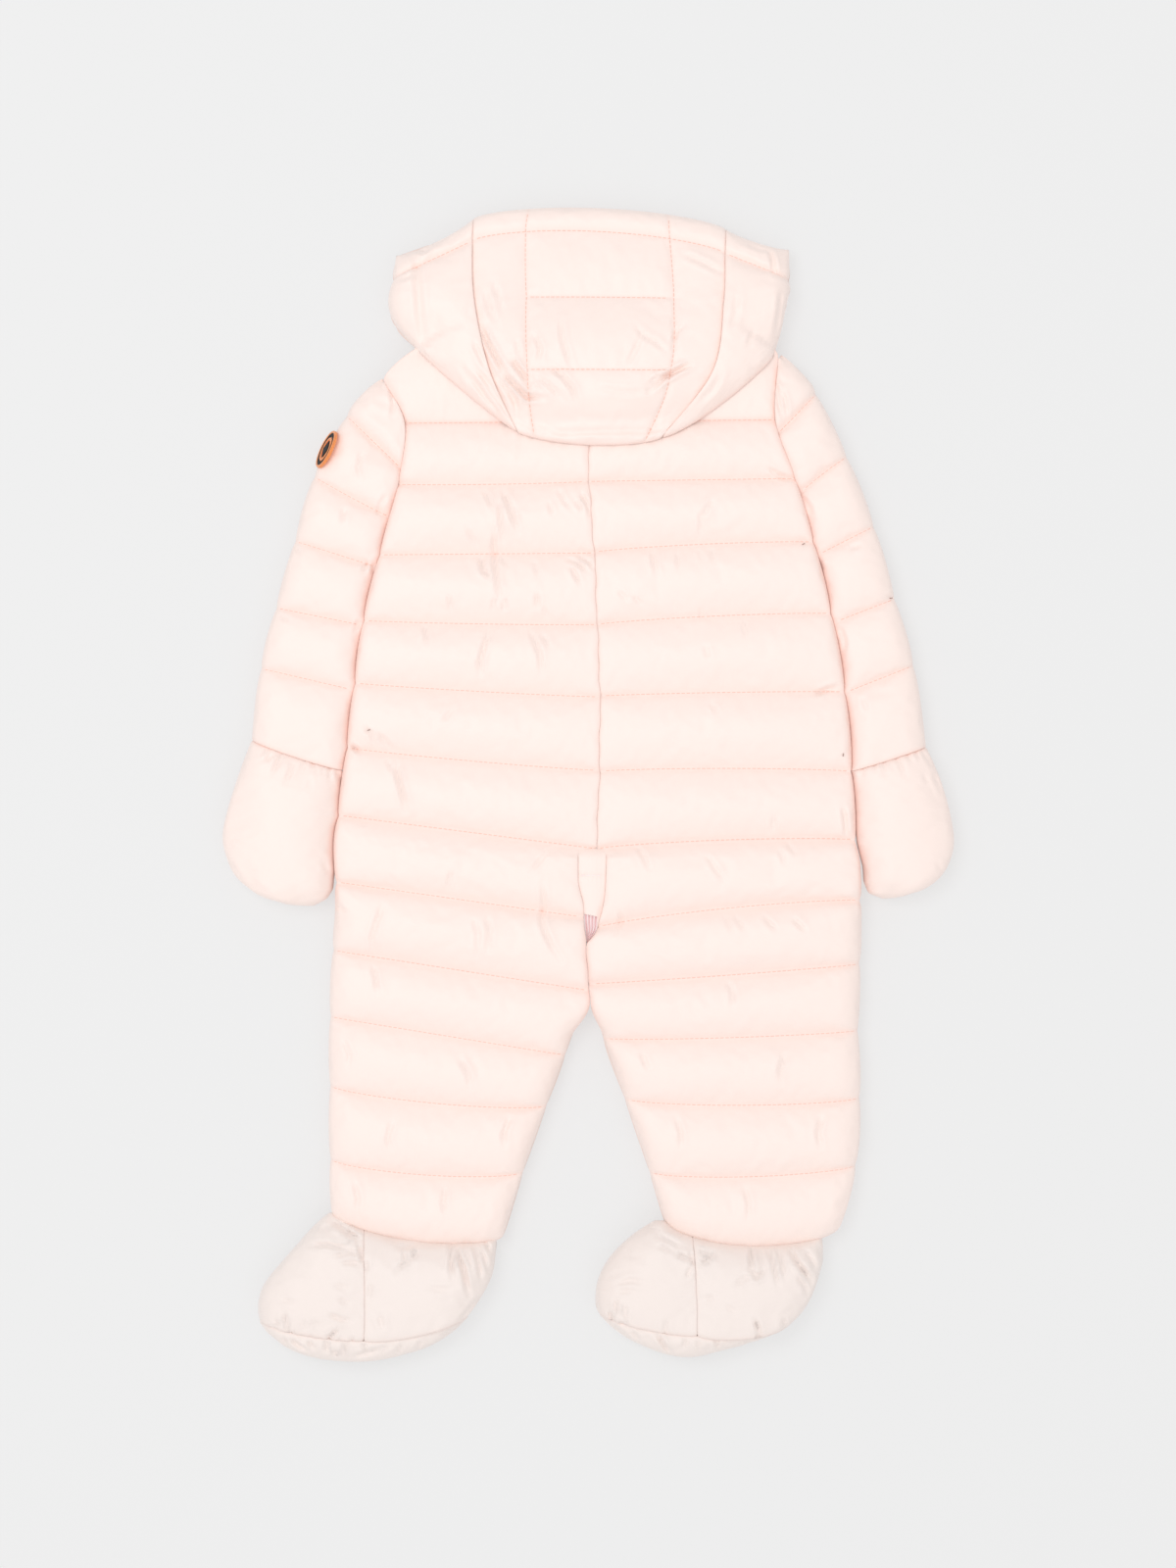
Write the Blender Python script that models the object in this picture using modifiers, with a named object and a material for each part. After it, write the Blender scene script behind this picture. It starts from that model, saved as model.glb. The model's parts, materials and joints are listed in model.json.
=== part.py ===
# Baby puffer snowsuit with hood, mittens and booties, laid flat on its front.
# Blender 4.5, metres in the file, millimetres in the tables. +Z is up, +Y points from the feet to the hood,
# and -X is the wearer's left. Each panel is a padded wall between rows of sections: a table row is a quilting
# line or the end of a panel, its outer end is the one away from the centre seam, and the wall is puffed
# between stitched rows over a plain inside.
import math
from collections import namedtuple

import bmesh
import bpy
from mathutils import Matrix, Vector

MM = 0.001

# Driving dimensions, mm
SEAM_HEIGHT = 15.0  # height of the side seams, where the upper and lower layers meet
SEAM_GAP = 0.3  # between the two layers at a seam
SEWN_GAP = 0.8  # between neighbouring panels in one layer, where their rows differ
HEM_GAP = 0.6  # between a leg's curved hem and its bootie
NECK_GAP = 2.0  # between the front panels' necks and the hood's underside
CLOTH_EDGE = 1.4  # thickness of a panel where it ends in a folded edge
STITCH_HEIGHT = 22.0  # top of the back layer along a quilting line
PUFF = 12.0  # rise of a channel over its quilting lines
UPPER_ROLL = 17.0  # how far in from a folded edge the upper layer has its full height
LOWER_ROLL = 11.0  # the same for the lower layer, which is flat inside it
SEAM_DIP = 10.0  # how far a sewn edge draws the puff down
SCALLOP = 1.5  # how far a channel swells past the outline between its quilting lines
ZIP_HALF = 3.0  # from the centre front to the front panels
ZIP_HEIGHTS = (5.0, 7.6)  # of the coil's lower and upper face
SLIDER = (5.0, 9.0, 3.4)
HOOD_RISE = 12.0  # the hood's inside is this much higher where it lies on the yoke
RIM_RISE = 7.0  # and this much more where its rim lies on the back's first channel
HOOD_TOP = (24.0, 50.0)  # height of the hood's stitching at the hem channel and at the lower rim
RIM_HEIGHT = 40.0  # height of the hood's lower rim, which overhangs the yoke
RIM_UNDERCUT = 9.0  # how far in the rim's underside has curved down to the yoke
BADGE_ACROSS = 28.0
BADGE_TILT = math.radians(68.5)  # of the badge's face from lying level

CHANNEL_STEPS = (0, 0.16, 0.5, 0.84)  # rows in each channel, as shares of it
PLAIN_STEPS = (0, 0.5)
ENDING_STEPS = (0, 0.2, 0.5, 0.75, 0.92)  # rows before a folded end
FOLD_PLACES = (0, 1.5, 5, 11)  # columns in from an edge

PINK = (0.97, 0.83, 0.78, 1)
SHADED_PINK = (0.93, 0.80, 0.76, 1)
ORANGE = (0.93, 0.36, 0.10, 1)
BLACK = (0.02, 0.02, 0.02, 1)

Section = namedtuple(
    "Section",
    "outer_x outer_y inner_x inner_y bow loft outer_fold inner_fold stitched edge",
    defaults=(0, 1, 1, 0, 1, SEAM_HEIGHT),
)
# bow: how far the row's middle lies above a straight line; loft: share of the full puff;
# outer_fold and inner_fold: 1 where the edge rolls down to a side seam, 0 where it is sewn to a neighbour;
# stitched: 1 on a quilting line, 0 for a row that only guides the outline; edge: height of the folded edges

BACK_LEFT = [
    Section(-143.5, 281.2, -0.7, 309.5, bow=27, loft=0.3, outer_fold=0.3),
    Section(-128.5, 251.0, -0.7, 252.0, loft=0.6, outer_fold=0),
    Section(-133.0, 208.5, -1.4, 210.5, bow=-1, outer_fold=0.1),
    Section(-145.5, 159.5, 2.7, 160.8, outer_fold=0.9),
    Section(-156.4, 113.9, 4.8, 111.2, bow=-1),
    Section(-162.5, 70.4, 6.8, 60.9, bow=-1),
    Section(-168.0, 25.5, 6.1, 9.9, bow=-1.5),
    Section(-174.1, -21.4, 3.4, -44.5),
    Section(-176.3, -42.0, -8.2, -56.8, inner_fold=0.2, stitched=0),
    Section(-175.5, -67.7, -4.4, -92.1, inner_fold=0.9),
    Section(-175.6, -88.0, -3.4, -112.0, inner_fold=1, stitched=0),
    Section(-178.0, -115.3, -2.4, -143.1, inner_fold=1),
    Section(-180.0, -161.5, -17.5, -188.0, inner_fold=1),
    Section(-180.2, -209.8, -30.5, -223.4, bow=-5, inner_fold=1),
    Section(-180.0, -260.8, -46.8, -269.6, bow=-6, inner_fold=1),
    Section(-178.8, -300.2, -60.5, -314.5, bow=-11.5, inner_fold=1),
]
BACK_RIGHT = [
    Section(130.5, 298.8, 0.1, 309.5, bow=21, loft=0.3, outer_fold=0.3),
    Section(128.5, 253.3, 0.1, 252.0, loft=0.6, outer_fold=0),
    Section(142.1, 212.5, -0.5, 210.5, outer_fold=0.1),
    Section(154.5, 168.3, 3.4, 161.5, bow=2, outer_fold=0.9),
    Section(166.6, 118.7, 5.4, 111.2, bow=2),
    Section(176.1, 64.3, 7.5, 61.5, bow=1),
    Section(180.9, 9.2, 6.9, 9.2, bow=2),
    Section(183.6, -38.4, 6.1, -44.5, bow=3),
    Section(186.0, -56.0, 11.6, -56.8, inner_fold=0.2, stitched=0),
    Section(187.0, -80.6, 6.1, -98.9, bow=4, inner_fold=0.9),
    Section(187.3, -100.0, 2.4, -115.0, inner_fold=1, stitched=0),
    Section(187.0, -124.8, 2.4, -138.4, bow=-1, inner_fold=1),
    Section(185.8, -171.0, 9.5, -176.5, bow=-2, inner_fold=1),
    Section(187.0, -217.9, 24.5, -218.6, bow=-4.5, inner_fold=1),
    Section(184.3, -264.9, 41.8, -269.6, bow=-5, inner_fold=1),
    Section(173.5, -308.5, 52.5, -305.5, bow=-15, inner_fold=1),
]
FRONT_NECK = (283.5, 30.0)  # height of the front neck seam at the zip, and its bow

SLEEVE_LEFT = [
    Section(-144.4, 282.5, -142.2, 278.0, loft=0.4),
    Section(-156.8, 272.0, -129.0, 246.0, loft=0.8, stitched=0),
    Section(-169.0, 256.0, -132.0, 219.3),
    Section(-191.3, 213.9, -137.0, 186.0, bow=-1, inner_fold=0.7),
    Section(-204.7, 169.0, -149.0, 151.3, inner_fold=1),
    Section(-217.8, 122.7, -158.0, 110.5, inner_fold=1),
    Section(-228.3, 80.6, -165.0, 65.6, inner_fold=1),
    Section(-234.0, 30.9, -172.0, 9.9, bow=-2, inner_fold=1),
]
SLEEVE_RIGHT = [
    Section(133.2, 299.0, 131.2, 295.5, loft=0.4),
    Section(149.0, 283.0, 127.5, 274.0, loft=0.8, stitched=0),
    Section(157.0, 271.0, 130.0, 243.8),
    Section(178.3, 227.5, 143.0, 202.3, bow=1, inner_fold=0.3),
    Section(197.0, 179.2, 158.0, 159.5, inner_fold=1),
    Section(211.5, 128.9, 168.0, 112.5, inner_fold=1),
    Section(224.5, 82.6, 177.0, 63.6, inner_fold=1),
    Section(232.5, 26.2, 181.0, 9.2, bow=-1, inner_fold=1),
]
MITTEN_LEFT = [
    Section(-234.6, 29.4, -173.0, 8.5, bow=-2, inner_fold=1),
    Section(-243.2, 5.8, -174.0, -9.9, inner_fold=1, stitched=0),
    Section(-250.9, -18.7, -175.0, -30.3, inner_fold=1, stitched=0),
    Section(-254.0, -39.0, -176.0, -48.6, inner_fold=1, stitched=0),
    Section(-247.5, -60.0, -178.0, -62.9, inner_fold=1, stitched=0),
    Section(-237.5, -71.0, -179.0, -73.1, inner_fold=1, stitched=0),
    Section(-226.0, -78.0, -183.5, -79.9, bow=-1, inner_fold=1, stitched=0),
    Section(-211.0, -83.0, -192.0, -84.2, bow=-0.7, inner_fold=1, stitched=0),
]
MITTEN_RIGHT = [
    Section(235.3, 24.7, 182.0, 7.6, bow=-1, inner_fold=1),
    Section(242.1, 3.7, 183.0, -7.8, inner_fold=1, stitched=0),
    Section(248.7, -18.7, 184.0, -25.5, inner_fold=1, stitched=0),
    Section(251.8, -39.1, 186.0, -41.8, inner_fold=1, stitched=0),
    Section(248.6, -54.1, 190.0, -57.5, inner_fold=1, stitched=0),
    Section(241.8, -64.9, 190.5, -67.7, inner_fold=1, stitched=0),
    Section(231.5, -72.2, 194.0, -75.8, bow=-1, inner_fold=1, stitched=0),
    Section(218.0, -77.3, 203.0, -79.2, bow=-0.7, inner_fold=1, stitched=0),
]

# The hood's side panels: their inner end is the curved seam beside the centre panel
HOOD_LEFT = [
    Section(-133.0, 368.5, -80.9, 394.1, bow=-4, loft=0.4),
    Section(-136.0, 351.2, -81.6, 377.1, loft=0.7),
    Section(-138.6, 338.0, -80.2, 347.1, stitched=0),
    Section(-137.4, 328.1, -76.2, 314.5, stitched=0, edge=17),
    Section(-132.6, 318.5, -69.4, 287.3, stitched=0, edge=22),
    Section(-125.2, 309.5, -59.8, 268.9, stitched=0, edge=28),
    Section(-117.0, 300.6, -50.3, 244.5, bow=-3, stitched=0, edge=RIM_HEIGHT, loft=0.6),
]
HOOD_RIGHT = [
    Section(136.3, 369.5, 94.5, 386.6, bow=-4, loft=0.4),
    Section(137.4, 350.5, 93.8, 368.2, loft=0.7),
    Section(137.2, 343.5, 93.2, 340.3, stitched=0),
    Section(134.6, 332.2, 89.8, 314.5, stitched=0, edge=17),
    Section(131.5, 316.5, 85.0, 289.3, stitched=0, edge=22),
    Section(128.5, 306.3, 74.8, 272.3, stitched=0, edge=28),
    Section(125.5, 297.0, 49.6, 240.4, bow=-7, stitched=0, edge=RIM_HEIGHT, loft=0.6),
]
HoodRow = namedtuple("HoodRow", "left_x left_y right_x right_y bow stitched loft edge line_left line_right")
# line_left and line_right: the centre panel's two upright stitch lines, as shares of its width
HOOD_CENTRE = [
    HoodRow(-80.9, 394.1, 94.5, 386.6, 11, 0, 0.4, SEAM_HEIGHT, 0.22, 0.77),
    HoodRow(-81.6, 377.1, 93.8, 368.2, 11, 1, 0.8, SEAM_HEIGHT, 0.21, 0.78),
    HoodRow(-80.2, 336.3, 92.5, 334.9, 1.5, 1, 1, SEAM_HEIGHT, 0.21, 0.80),
    HoodRow(-69.4, 286.0, 84.6, 285.3, 0, 1, 1, 28, 0.17, 0.81),
    HoodRow(-50.3, 244.5, 49.6, 240.4, -7.5, 0, 0.8, RIM_HEIGHT, 0.12, 0.88),
]
HOOD_STEPS = (0, 0.12, 0.5, 0.86)
HOOD_UNDER_LEFT = [
    Section(-133.0, 368.5, -112.0, 376.0, inner_fold=0.5),
    Section(-136.5, 350.5, -104.0, 349.0, inner_fold=0.5),
    Section(-137.8, 333.5, -92.0, 326.0, inner_fold=0.5),
    Section(-134.4, 318.5, -62.0, 312.0, bow=5, inner_fold=0.5),
    Section(-121.0, 304.5, -12.0, 297.5, bow=16, inner_fold=0.5),
]
HOOD_UNDER_RIGHT = [
    Section(136.3, 369.5, 114.0, 378.0, inner_fold=0.5),
    Section(138.0, 350.5, 106.0, 349.0, inner_fold=0.5),
    Section(136.6, 338.0, 94.0, 327.0, inner_fold=0.5),
    Section(131.6, 322.0, 62.0, 313.0, bow=5, inner_fold=0.5),
    Section(127.0, 307.5, 12.0, 297.5, bow=15, inner_fold=0.5),
]

# Booties: each row runs from the outline to the heel seam, from the leg's hem down to the sole seam
BootieRow = namedtuple("BootieRow", "outer_x outer_y seam_x seam_y inner_x inner_y")
BOOTIE_LEFT = [
    BootieRow(-181.8, -304.6, -157.0, -315.5, -64.8, -318.0),
    BootieRow(-201.3, -317.9, -156.4, -329.5, -66.0, -328.8),
    BootieRow(-215.6, -333.5, -155.7, -345.1, -67.5, -339.7),
    BootieRow(-227.0, -347.8, -155.7, -360.1, -72.0, -350.5),
    BootieRow(-231.0, -361.4, -155.7, -373.7, -78.0, -360.1),
    BootieRow(-230.2, -372.3, -156.4, -384.5, -84.0, -368.5),
]
BOOTIE_RIGHT = [
    BootieRow(161.4, -321.5, 71.0, -322.5, 45.0, -304.5),
    BootieRow(162.2, -331.5, 72.8, -337.0, 28.0, -315.0),
    BootieRow(159.2, -343.1, 73.4, -349.2, 13.5, -329.5),
    BootieRow(155.0, -355.3, 74.1, -361.4, 6.0, -343.7),
    BootieRow(147.6, -366.9, 74.1, -372.3, 3.8, -356.0),
    BootieRow(138.0, -375.7, 74.1, -381.1, 5.3, -366.9),
]
SoleRow = namedtuple("SoleRow", "x outline_x outline_y")
SOLE_LEFT = [
    SoleRow(-229.6, -229.8, -374.6),
    SoleRow(-221.0, -222.2, -383.6),
    SoleRow(-206.0, -206.7, -394.3),
    SoleRow(-184.0, -185.0, -400.2),
    SoleRow(-156.4, -154.4, -401.5),
    SoleRow(-129.0, -127.0, -396.2),
    SoleRow(-112.0, -109.0, -389.8),
    SoleRow(-97.0, -94.6, -380.3),
    SoleRow(-86.0, -85.0, -370.8),
]
SOLE_RIGHT = [
    SoleRow(7.2, 6.8, -369.2),
    SoleRow(17.5, 15.8, -378.2),
    SoleRow(32.0, 29.2, -387.3),
    SoleRow(52.0, 51.0, -396.1),
    SoleRow(72.0, 70.0, -398.8),
    SoleRow(91.0, 90.0, -394.6),
    SoleRow(109.0, 110.5, -388.9),
    SoleRow(126.0, 128.5, -382.5),
    SoleRow(136.6, 137.4, -377.8),
]

GussetRow = namedtuple("GussetRow", "y height inset")
GUSSET = [  # a flat tab between the leg panels, and the deeper strip below it
    GussetRow(-47.5, 21.5, 0.9),
    GussetRow(-51.0, 22.5, 1.2),
    GussetRow(-56.0, 23.5, 0.9),
    GussetRow(-60.0, 24.0, 0.7),
    GussetRow(-67.0, 24.0, 0.7),
    GussetRow(-76.0, 24.0, 0.7),
    GussetRow(-83.0, 23.8, 0.8),
    GussetRow(-89.5, 23.5, 0.9),
    GussetRow(-90.8, 15.0, 1.0),
    GussetRow(-100.0, 12.0, 1.0),
    GussetRow(-109.0, 11.0, 1.0),
]
GUSSET_BOTTOM = 9.0
GUSSET_THICK = 2.5
GUSSET_CROWN = (0, 0.6, 0.8, 0.6, 0)  # rise of its columns from one edge to the other


def rise(share):
    """A quarter circle from 0 to 1."""
    share = min(max(share, 0.0), 1.0)
    return math.sqrt(1 - (1 - share) ** 2)


def mix(a, b, share):
    return a + (b - a) * share


def smooth(share):
    share = min(max(share, 0.0), 1.0)
    return share * share * (3 - 2 * share)


def arch(u):
    """The shape of a bowed row: 0 at both ends and 1 halfway."""
    return (4 * u * (1 - u)) ** 0.7


def curve(values, i, t):
    """The value a share t past number i on a smooth curve through the values."""
    a, b, c, d = (values[min(max(k, 0), len(values) - 1)] for k in (i - 1, i, i + 1, i + 2))
    slope_b = (c - a) / 2 if i > 0 else c - b
    slope_c = (d - b) / 2 if i + 2 < len(values) else c - b
    return (
        (2 * t**3 - 3 * t**2 + 1) * b
        + (t**3 - 2 * t**2 + t) * slope_b
        + (3 * t**2 - 2 * t**3) * c
        + (t**3 - t**2) * slope_c
    )


def x_at(points, y):
    """Where a line of points, whose y falls all along, is at this height."""
    for (x0, y0), (x1, y1) in zip(points, points[1:]):
        if y0 >= y >= y1:
            return mix(x0, x1, (y0 - y) / max(y0 - y1, 1e-6))
    return points[0][0] if y > points[0][1] else points[-1][0]


def y_at(points, x):
    """How high a line of points, whose x grows all along, is at this x."""
    for (x0, y0), (x1, y1) in zip(points, points[1:]):
        if x0 <= x <= x1:
            return mix(y0, y1, (x - x0) / max(x1 - x0, 1e-6))
    return points[0][1] if x < points[0][0] else points[-1][1]


def row_places(count, steps, last_steps=None):
    """(number of the section, share of the channel after it) for each row of a panel."""
    places = []
    for i in range(count - 1):
        use = last_steps if last_steps and i == count - 2 else steps
        places += [(i, t) for t in use]
    return places + [(count - 2, 1.0)]


def row_values(sections, i, t):
    """The section that a row between two sections has, and its share of the puff."""
    a, b = sections[i], sections[i + 1]
    made = {}
    for field in a._fields:
        column = [getattr(s, field) for s in sections]
        is_place = field.endswith("_x") or field.endswith("_y")
        made[field] = curve(column, i, t) if is_place else mix(getattr(a, field), getattr(b, field), t)
    puff = 1 - a.stitched * (1 - rise(2 * t)) - b.stitched * (1 - rise(2 * (1 - t)))
    return a._replace(**made), puff


def across(width, middle):
    """How far each column is from the outer end of a row."""
    scale = min(1.0, width / (2.6 * FOLD_PLACES[-1]))
    near = [d * scale for d in FOLD_PLACES]
    step = (width - 2 * near[-1]) / (middle + 1)
    return near + [near[-1] + step * (k + 1) for k in range(middle)] + [width - d for d in reversed(near)]


def lay_out(sections, steps, middle, last_steps=None, inner_line=None, swell=0):
    """The rows of a panel seen from above: each is its values, its puff and its points with their edge distances."""
    rows = []
    for i, t in row_places(len(sections), steps, last_steps):
        s, puff = row_values(sections, i, t)
        side = 1 if s.outer_x > s.inner_x else -1
        outer_x = s.outer_x + side * swell * puff * s.outer_fold
        inner_x = s.inner_x - side * 0.5 * swell * puff * s.inner_fold
        if inner_line:
            inner_x = inner_line(s.inner_y)
        width = math.hypot(inner_x - outer_x, s.inner_y - s.outer_y)
        points = []
        for d in across(width, middle):
            u = d / width
            y = mix(s.outer_y, s.inner_y, u) + s.bow * arch(u)
            points.append((mix(outer_x, inner_x, u), y, d, width - d))
        rows.append((s, puff, points))
    return rows


def end_distance(rows, r, k, end):
    """How far point k of row r is from the panel's first or last row."""
    p, q = rows[r][2][k], rows[end][2][k]
    return math.hypot(p[0] - q[0], p[1] - q[1])


def upper_heights(rows, first_fold=0, last_fold=0, top=None, inside=None, roll=UPPER_ROLL, puff_height=PUFF):
    """Outer and inner points of a panel of the upper layer."""
    top = top or (lambda x, y: STITCH_HEIGHT)
    outer, inner = [], []
    for r, (s, puff, points) in enumerate(rows):
        outer_row, inner_row = [], []
        for k, (x, y, from_outer, from_inner) in enumerate(points):
            low, high = s.edge + SEAM_GAP / 2, top(x, y)
            folds = (
                (from_outer, s.outer_fold),
                (from_inner, s.inner_fold),
                (end_distance(rows, r, k, 0), first_fold),
                (end_distance(rows, r, k, -1), last_fold),
            )
            full = math.prod(mix(1, rise(d / roll), w) for d, w in folds)
            under = math.prod(mix(1, rise(d / RIM_UNDERCUT), w) for d, w in folds)
            dip = math.prod(mix(rise(d / SEAM_DIP), 1, w) for d, w in folds[:2])
            start = low + CLOTH_EDGE
            outer_row.append((x, y, start + (high + puff_height * s.loft * puff * dip - start) * full))
            inner_row.append((x, y, mix(low, inside(x, y), under) if inside else low))
        outer.append(outer_row)
        inner.append(inner_row)
    return outer, inner


def lower_heights(rows, first_fold=0, last_fold=0):
    """The same for a panel of the lower layer, which lies flat on z = 0."""
    high = SEAM_HEIGHT - SEAM_GAP / 2
    outer, inner = [], []
    for r, (s, _, points) in enumerate(rows):
        outer_row = []
        for k, (x, y, from_outer, from_inner) in enumerate(points):
            folds = (
                (from_outer, s.outer_fold),
                (from_inner, s.inner_fold),
                (end_distance(rows, r, k, 0), first_fold),
                (end_distance(rows, r, k, -1), last_fold),
            )
            full = math.prod(mix(1, rise(d / LOWER_ROLL), w) for d, w in folds)
            outer_row.append((x, y, (high - CLOTH_EDGE) * (1 - full)))
        outer.append(outer_row)
        inner.append([(x, y, high) for x, y, *_ in points])
    return outer, inner


def wall(name, outer, inner, colour, plain_inside=True, roughness=0.45):
    """A closed wall between two grids of points. A plain inside has one strip across for each row, which
    suits a level inside whose end rows don't bow inwards."""
    bm = bmesh.new()
    last_row, last = len(outer) - 1, len(outer[0]) - 1
    made = {}

    def vertex(grid, r, k):
        if (grid, r, k) not in made:
            made[grid, r, k] = bm.verts.new(Vector((outer, inner)[grid][r][k]) * MM)
        return made[grid, r, k]

    for r in range(last_row):
        for k in range(last):
            bm.faces.new([vertex(0, *at) for at in ((r, k), (r, k + 1), (r + 1, k + 1), (r + 1, k))])
            if not plain_inside:
                bm.faces.new([vertex(1, *at) for at in ((r + 1, k), (r + 1, k + 1), (r, k + 1), (r, k))])
        if plain_inside:
            upper = range(last + 1) if r == 0 else (0, last)
            lower = range(last + 1) if r + 1 == last_row else (0, last)
            ring = [(r, k) for k in reversed(upper)] + [(r + 1, k) for k in lower]
            bm.faces.new([vertex(1, *at) for at in ring])
        for k, order in ((0, 1), (last, -1)):
            rim = [vertex(0, r, k), vertex(0, r + 1, k), vertex(1, r + 1, k), vertex(1, r, k)]
            bm.faces.new(rim[::order])
    for r, order in ((0, -1), (last_row, 1)):
        for k in range(last):
            rim = [vertex(0, r, k), vertex(0, r, k + 1), vertex(1, r, k + 1), vertex(1, r, k)]
            bm.faces.new(rim[::order])
    bmesh.ops.recalc_face_normals(bm, faces=bm.faces)
    mesh = bpy.data.meshes.new(name)
    bm.to_mesh(mesh)
    bm.free()
    return place(bpy.data.objects.new(name, mesh), colour, roughness)


def place(obj, colour, roughness=0.45, metallic=0.0):
    """Give a piece its material, smooth shading and its place in the suit."""
    mat = bpy.data.materials.new(obj.name)
    mat.use_nodes = True
    shader = mat.node_tree.nodes["Principled BSDF"]
    shader.inputs["Base Color"].default_value = colour
    shader.inputs["Roughness"].default_value = roughness
    shader.inputs["Metallic"].default_value = metallic
    mat.diffuse_color = colour
    obj.data.materials.append(mat)
    obj.data.shade_smooth()
    obj.data.set_sharp_from_angle(angle=math.radians(50))
    for users in list(obj.users_collection):
        users.objects.unlink(obj)
    suit.objects.link(obj)
    obj.parent = ground
    return obj


def edge_line(rows, k):
    """The points that column k of a panel runs through, from its first row to its last."""
    return [(points[k][0], points[k][1]) for _, _, points in rows]


def front_sections(back):
    """The front panel has the back panel's outline, with a lower neck and room for the zip."""
    made = []
    for n, s in enumerate(back):
        side = 1 if s.outer_x > s.inner_x else -1
        inner_x = mix(s.inner_x + side * ZIP_HALF, s.inner_x, s.inner_fold)
        s = s._replace(inner_x=inner_x, outer_fold=max(s.outer_fold, 0.3))
        if n == 0:
            s = s._replace(inner_y=FRONT_NECK[0], bow=FRONT_NECK[1])
        made.append(s)
    return made


def neck_height(x):
    """How high the back panels reach under the hood, at this x."""
    top = BACK_LEFT[0] if x < 0 else BACK_RIGHT[0]
    u = min(max((x - top.outer_x) / (top.inner_x - top.outer_x), 0.0), 1.0)
    return mix(top.outer_y, top.inner_y, u) + top.bow * arch(u)


def hood_inside(x, y):
    """The hood's plain inside: low over its own underside, higher on the yoke."""
    on_yoke, on_channel = smooth((neck_height(x) + 17 - y) / 14), smooth((266 - y) / 14)
    return SEAM_HEIGHT + 0.6 + HOOD_RISE * on_yoke + RIM_RISE * on_channel


def hood_top(x, y):
    """Height of the hood's seams and stitch lines."""
    low, high = HOOD_TOP
    return mix(low, high, smooth((372 - y) / 110)) - 0.0006 * x * x * smooth((330 - y) / 60)


def make_body(side, back):
    """Back and front panel of one half, and the outline that the sleeve lies against."""
    rows = lay_out(back, CHANNEL_STEPS, 2, ENDING_STEPS, swell=SCALLOP)
    outer, inner = upper_heights(rows, first_fold=1, last_fold=0.55)
    wall(f"back_{side}", outer, inner, PINK)
    front = lay_out(front_sections(back), PLAIN_STEPS, 1, ENDING_STEPS, swell=SCALLOP)
    outer, inner = lower_heights(front, first_fold=0.6, last_fold=1)
    wall(f"front_{side}", outer, inner, PINK)
    return rows, front


def make_arm(side, sleeve, mitten, body_rows, front_rows):
    """Sleeve and mitten, each an upper and an under piece, just clear of the body's side."""
    away = 1 if side == "right" else -1
    body, front = edge_line(body_rows, 0), edge_line(front_rows, 0)
    rows = lay_out(sleeve, CHANNEL_STEPS, 1, None, lambda y: x_at(body, y) + away * SEWN_GAP, SCALLOP)
    outer, inner = upper_heights(rows, first_fold=1, roll=15)
    wall(f"sleeve_{side}_upper", outer, inner, PINK)
    rows_under = lay_out(sleeve, PLAIN_STEPS, 1, None, lambda y: x_at(front, y) + away * 2 * SEWN_GAP, SCALLOP)
    outer, inner = lower_heights(rows_under, first_fold=1)
    wall(f"sleeve_{side}_under", outer, inner, PINK)

    hand = lay_out(mitten, (0, 0.5), 1, (0, 0.5, 0.85), inner_line=beside_then_round(mitten, body, away))
    outer, inner = upper_heights(hand, last_fold=1, roll=20, puff_height=14)
    wall(f"mitten_{side}_upper", outer, inner, PINK)
    outer, inner = lower_heights(hand, last_fold=1)
    wall(f"mitten_{side}_palm", outer, inner, PINK)


def beside_then_round(mitten, body, away):
    """The mitten's inner edge: along the body, then its own outline round the tip."""
    own = [(s.inner_x, s.inner_y) for s in mitten]

    def line(y):
        return away * max(away * x_at(body, y) + 2 * SEWN_GAP, away * x_at(own, y))

    return line


def hood_columns(row):
    """Places across the hood's centre panel, each with its puff and whether the cross lines reach it."""
    a, b = row.line_left, row.line_right
    return (
        [(a * s, p, 0) for s, p in ((0, 0), (0.25, 0.8), (0.55, 1), (0.85, 0.7))]
        + [(a, 0, 1)]
        + [(mix(a, b, s), p, 1) for s, p in ((0.06, 0.6), (0.2, 0.95), (0.5, 1), (0.8, 0.95), (0.94, 0.6))]
        + [(b, 0, 1)]
        + [(mix(b, 1, s), p, 0) for s, p in ((0.15, 0.7), (0.45, 1), (0.75, 0.8), (1, 0))]
    )


def keep_clear(rows, neighbour, up, gap=HEM_GAP):
    """Move the rows at a panel's end clear of the neighbour's end row, above it (up = 1) or below it (up = -1)."""
    line = sorted((x, y) for x, y, *_ in neighbour[2])
    order = list(range(len(rows)))[:: -up]
    for n, r in enumerate(order[:4]):
        points = rows[r][2]
        ys = [p[1] for p in points]
        for a in range(len(points) - 1):
            for share in (0, 0.25, 0.5, 0.75, 1):
                x = mix(points[a][0], points[a + 1][0], share)
                short = up * (y_at(line, x) - mix(ys[a], ys[a + 1], share)) + gap + 2 * n
                if short > 0:
                    ys[a] += up * short
                    ys[a + 1] += up * short
        rows[r] = (*rows[r][:2], [(p[0], y, *p[2:]) for p, y in zip(points, ys)])


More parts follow.
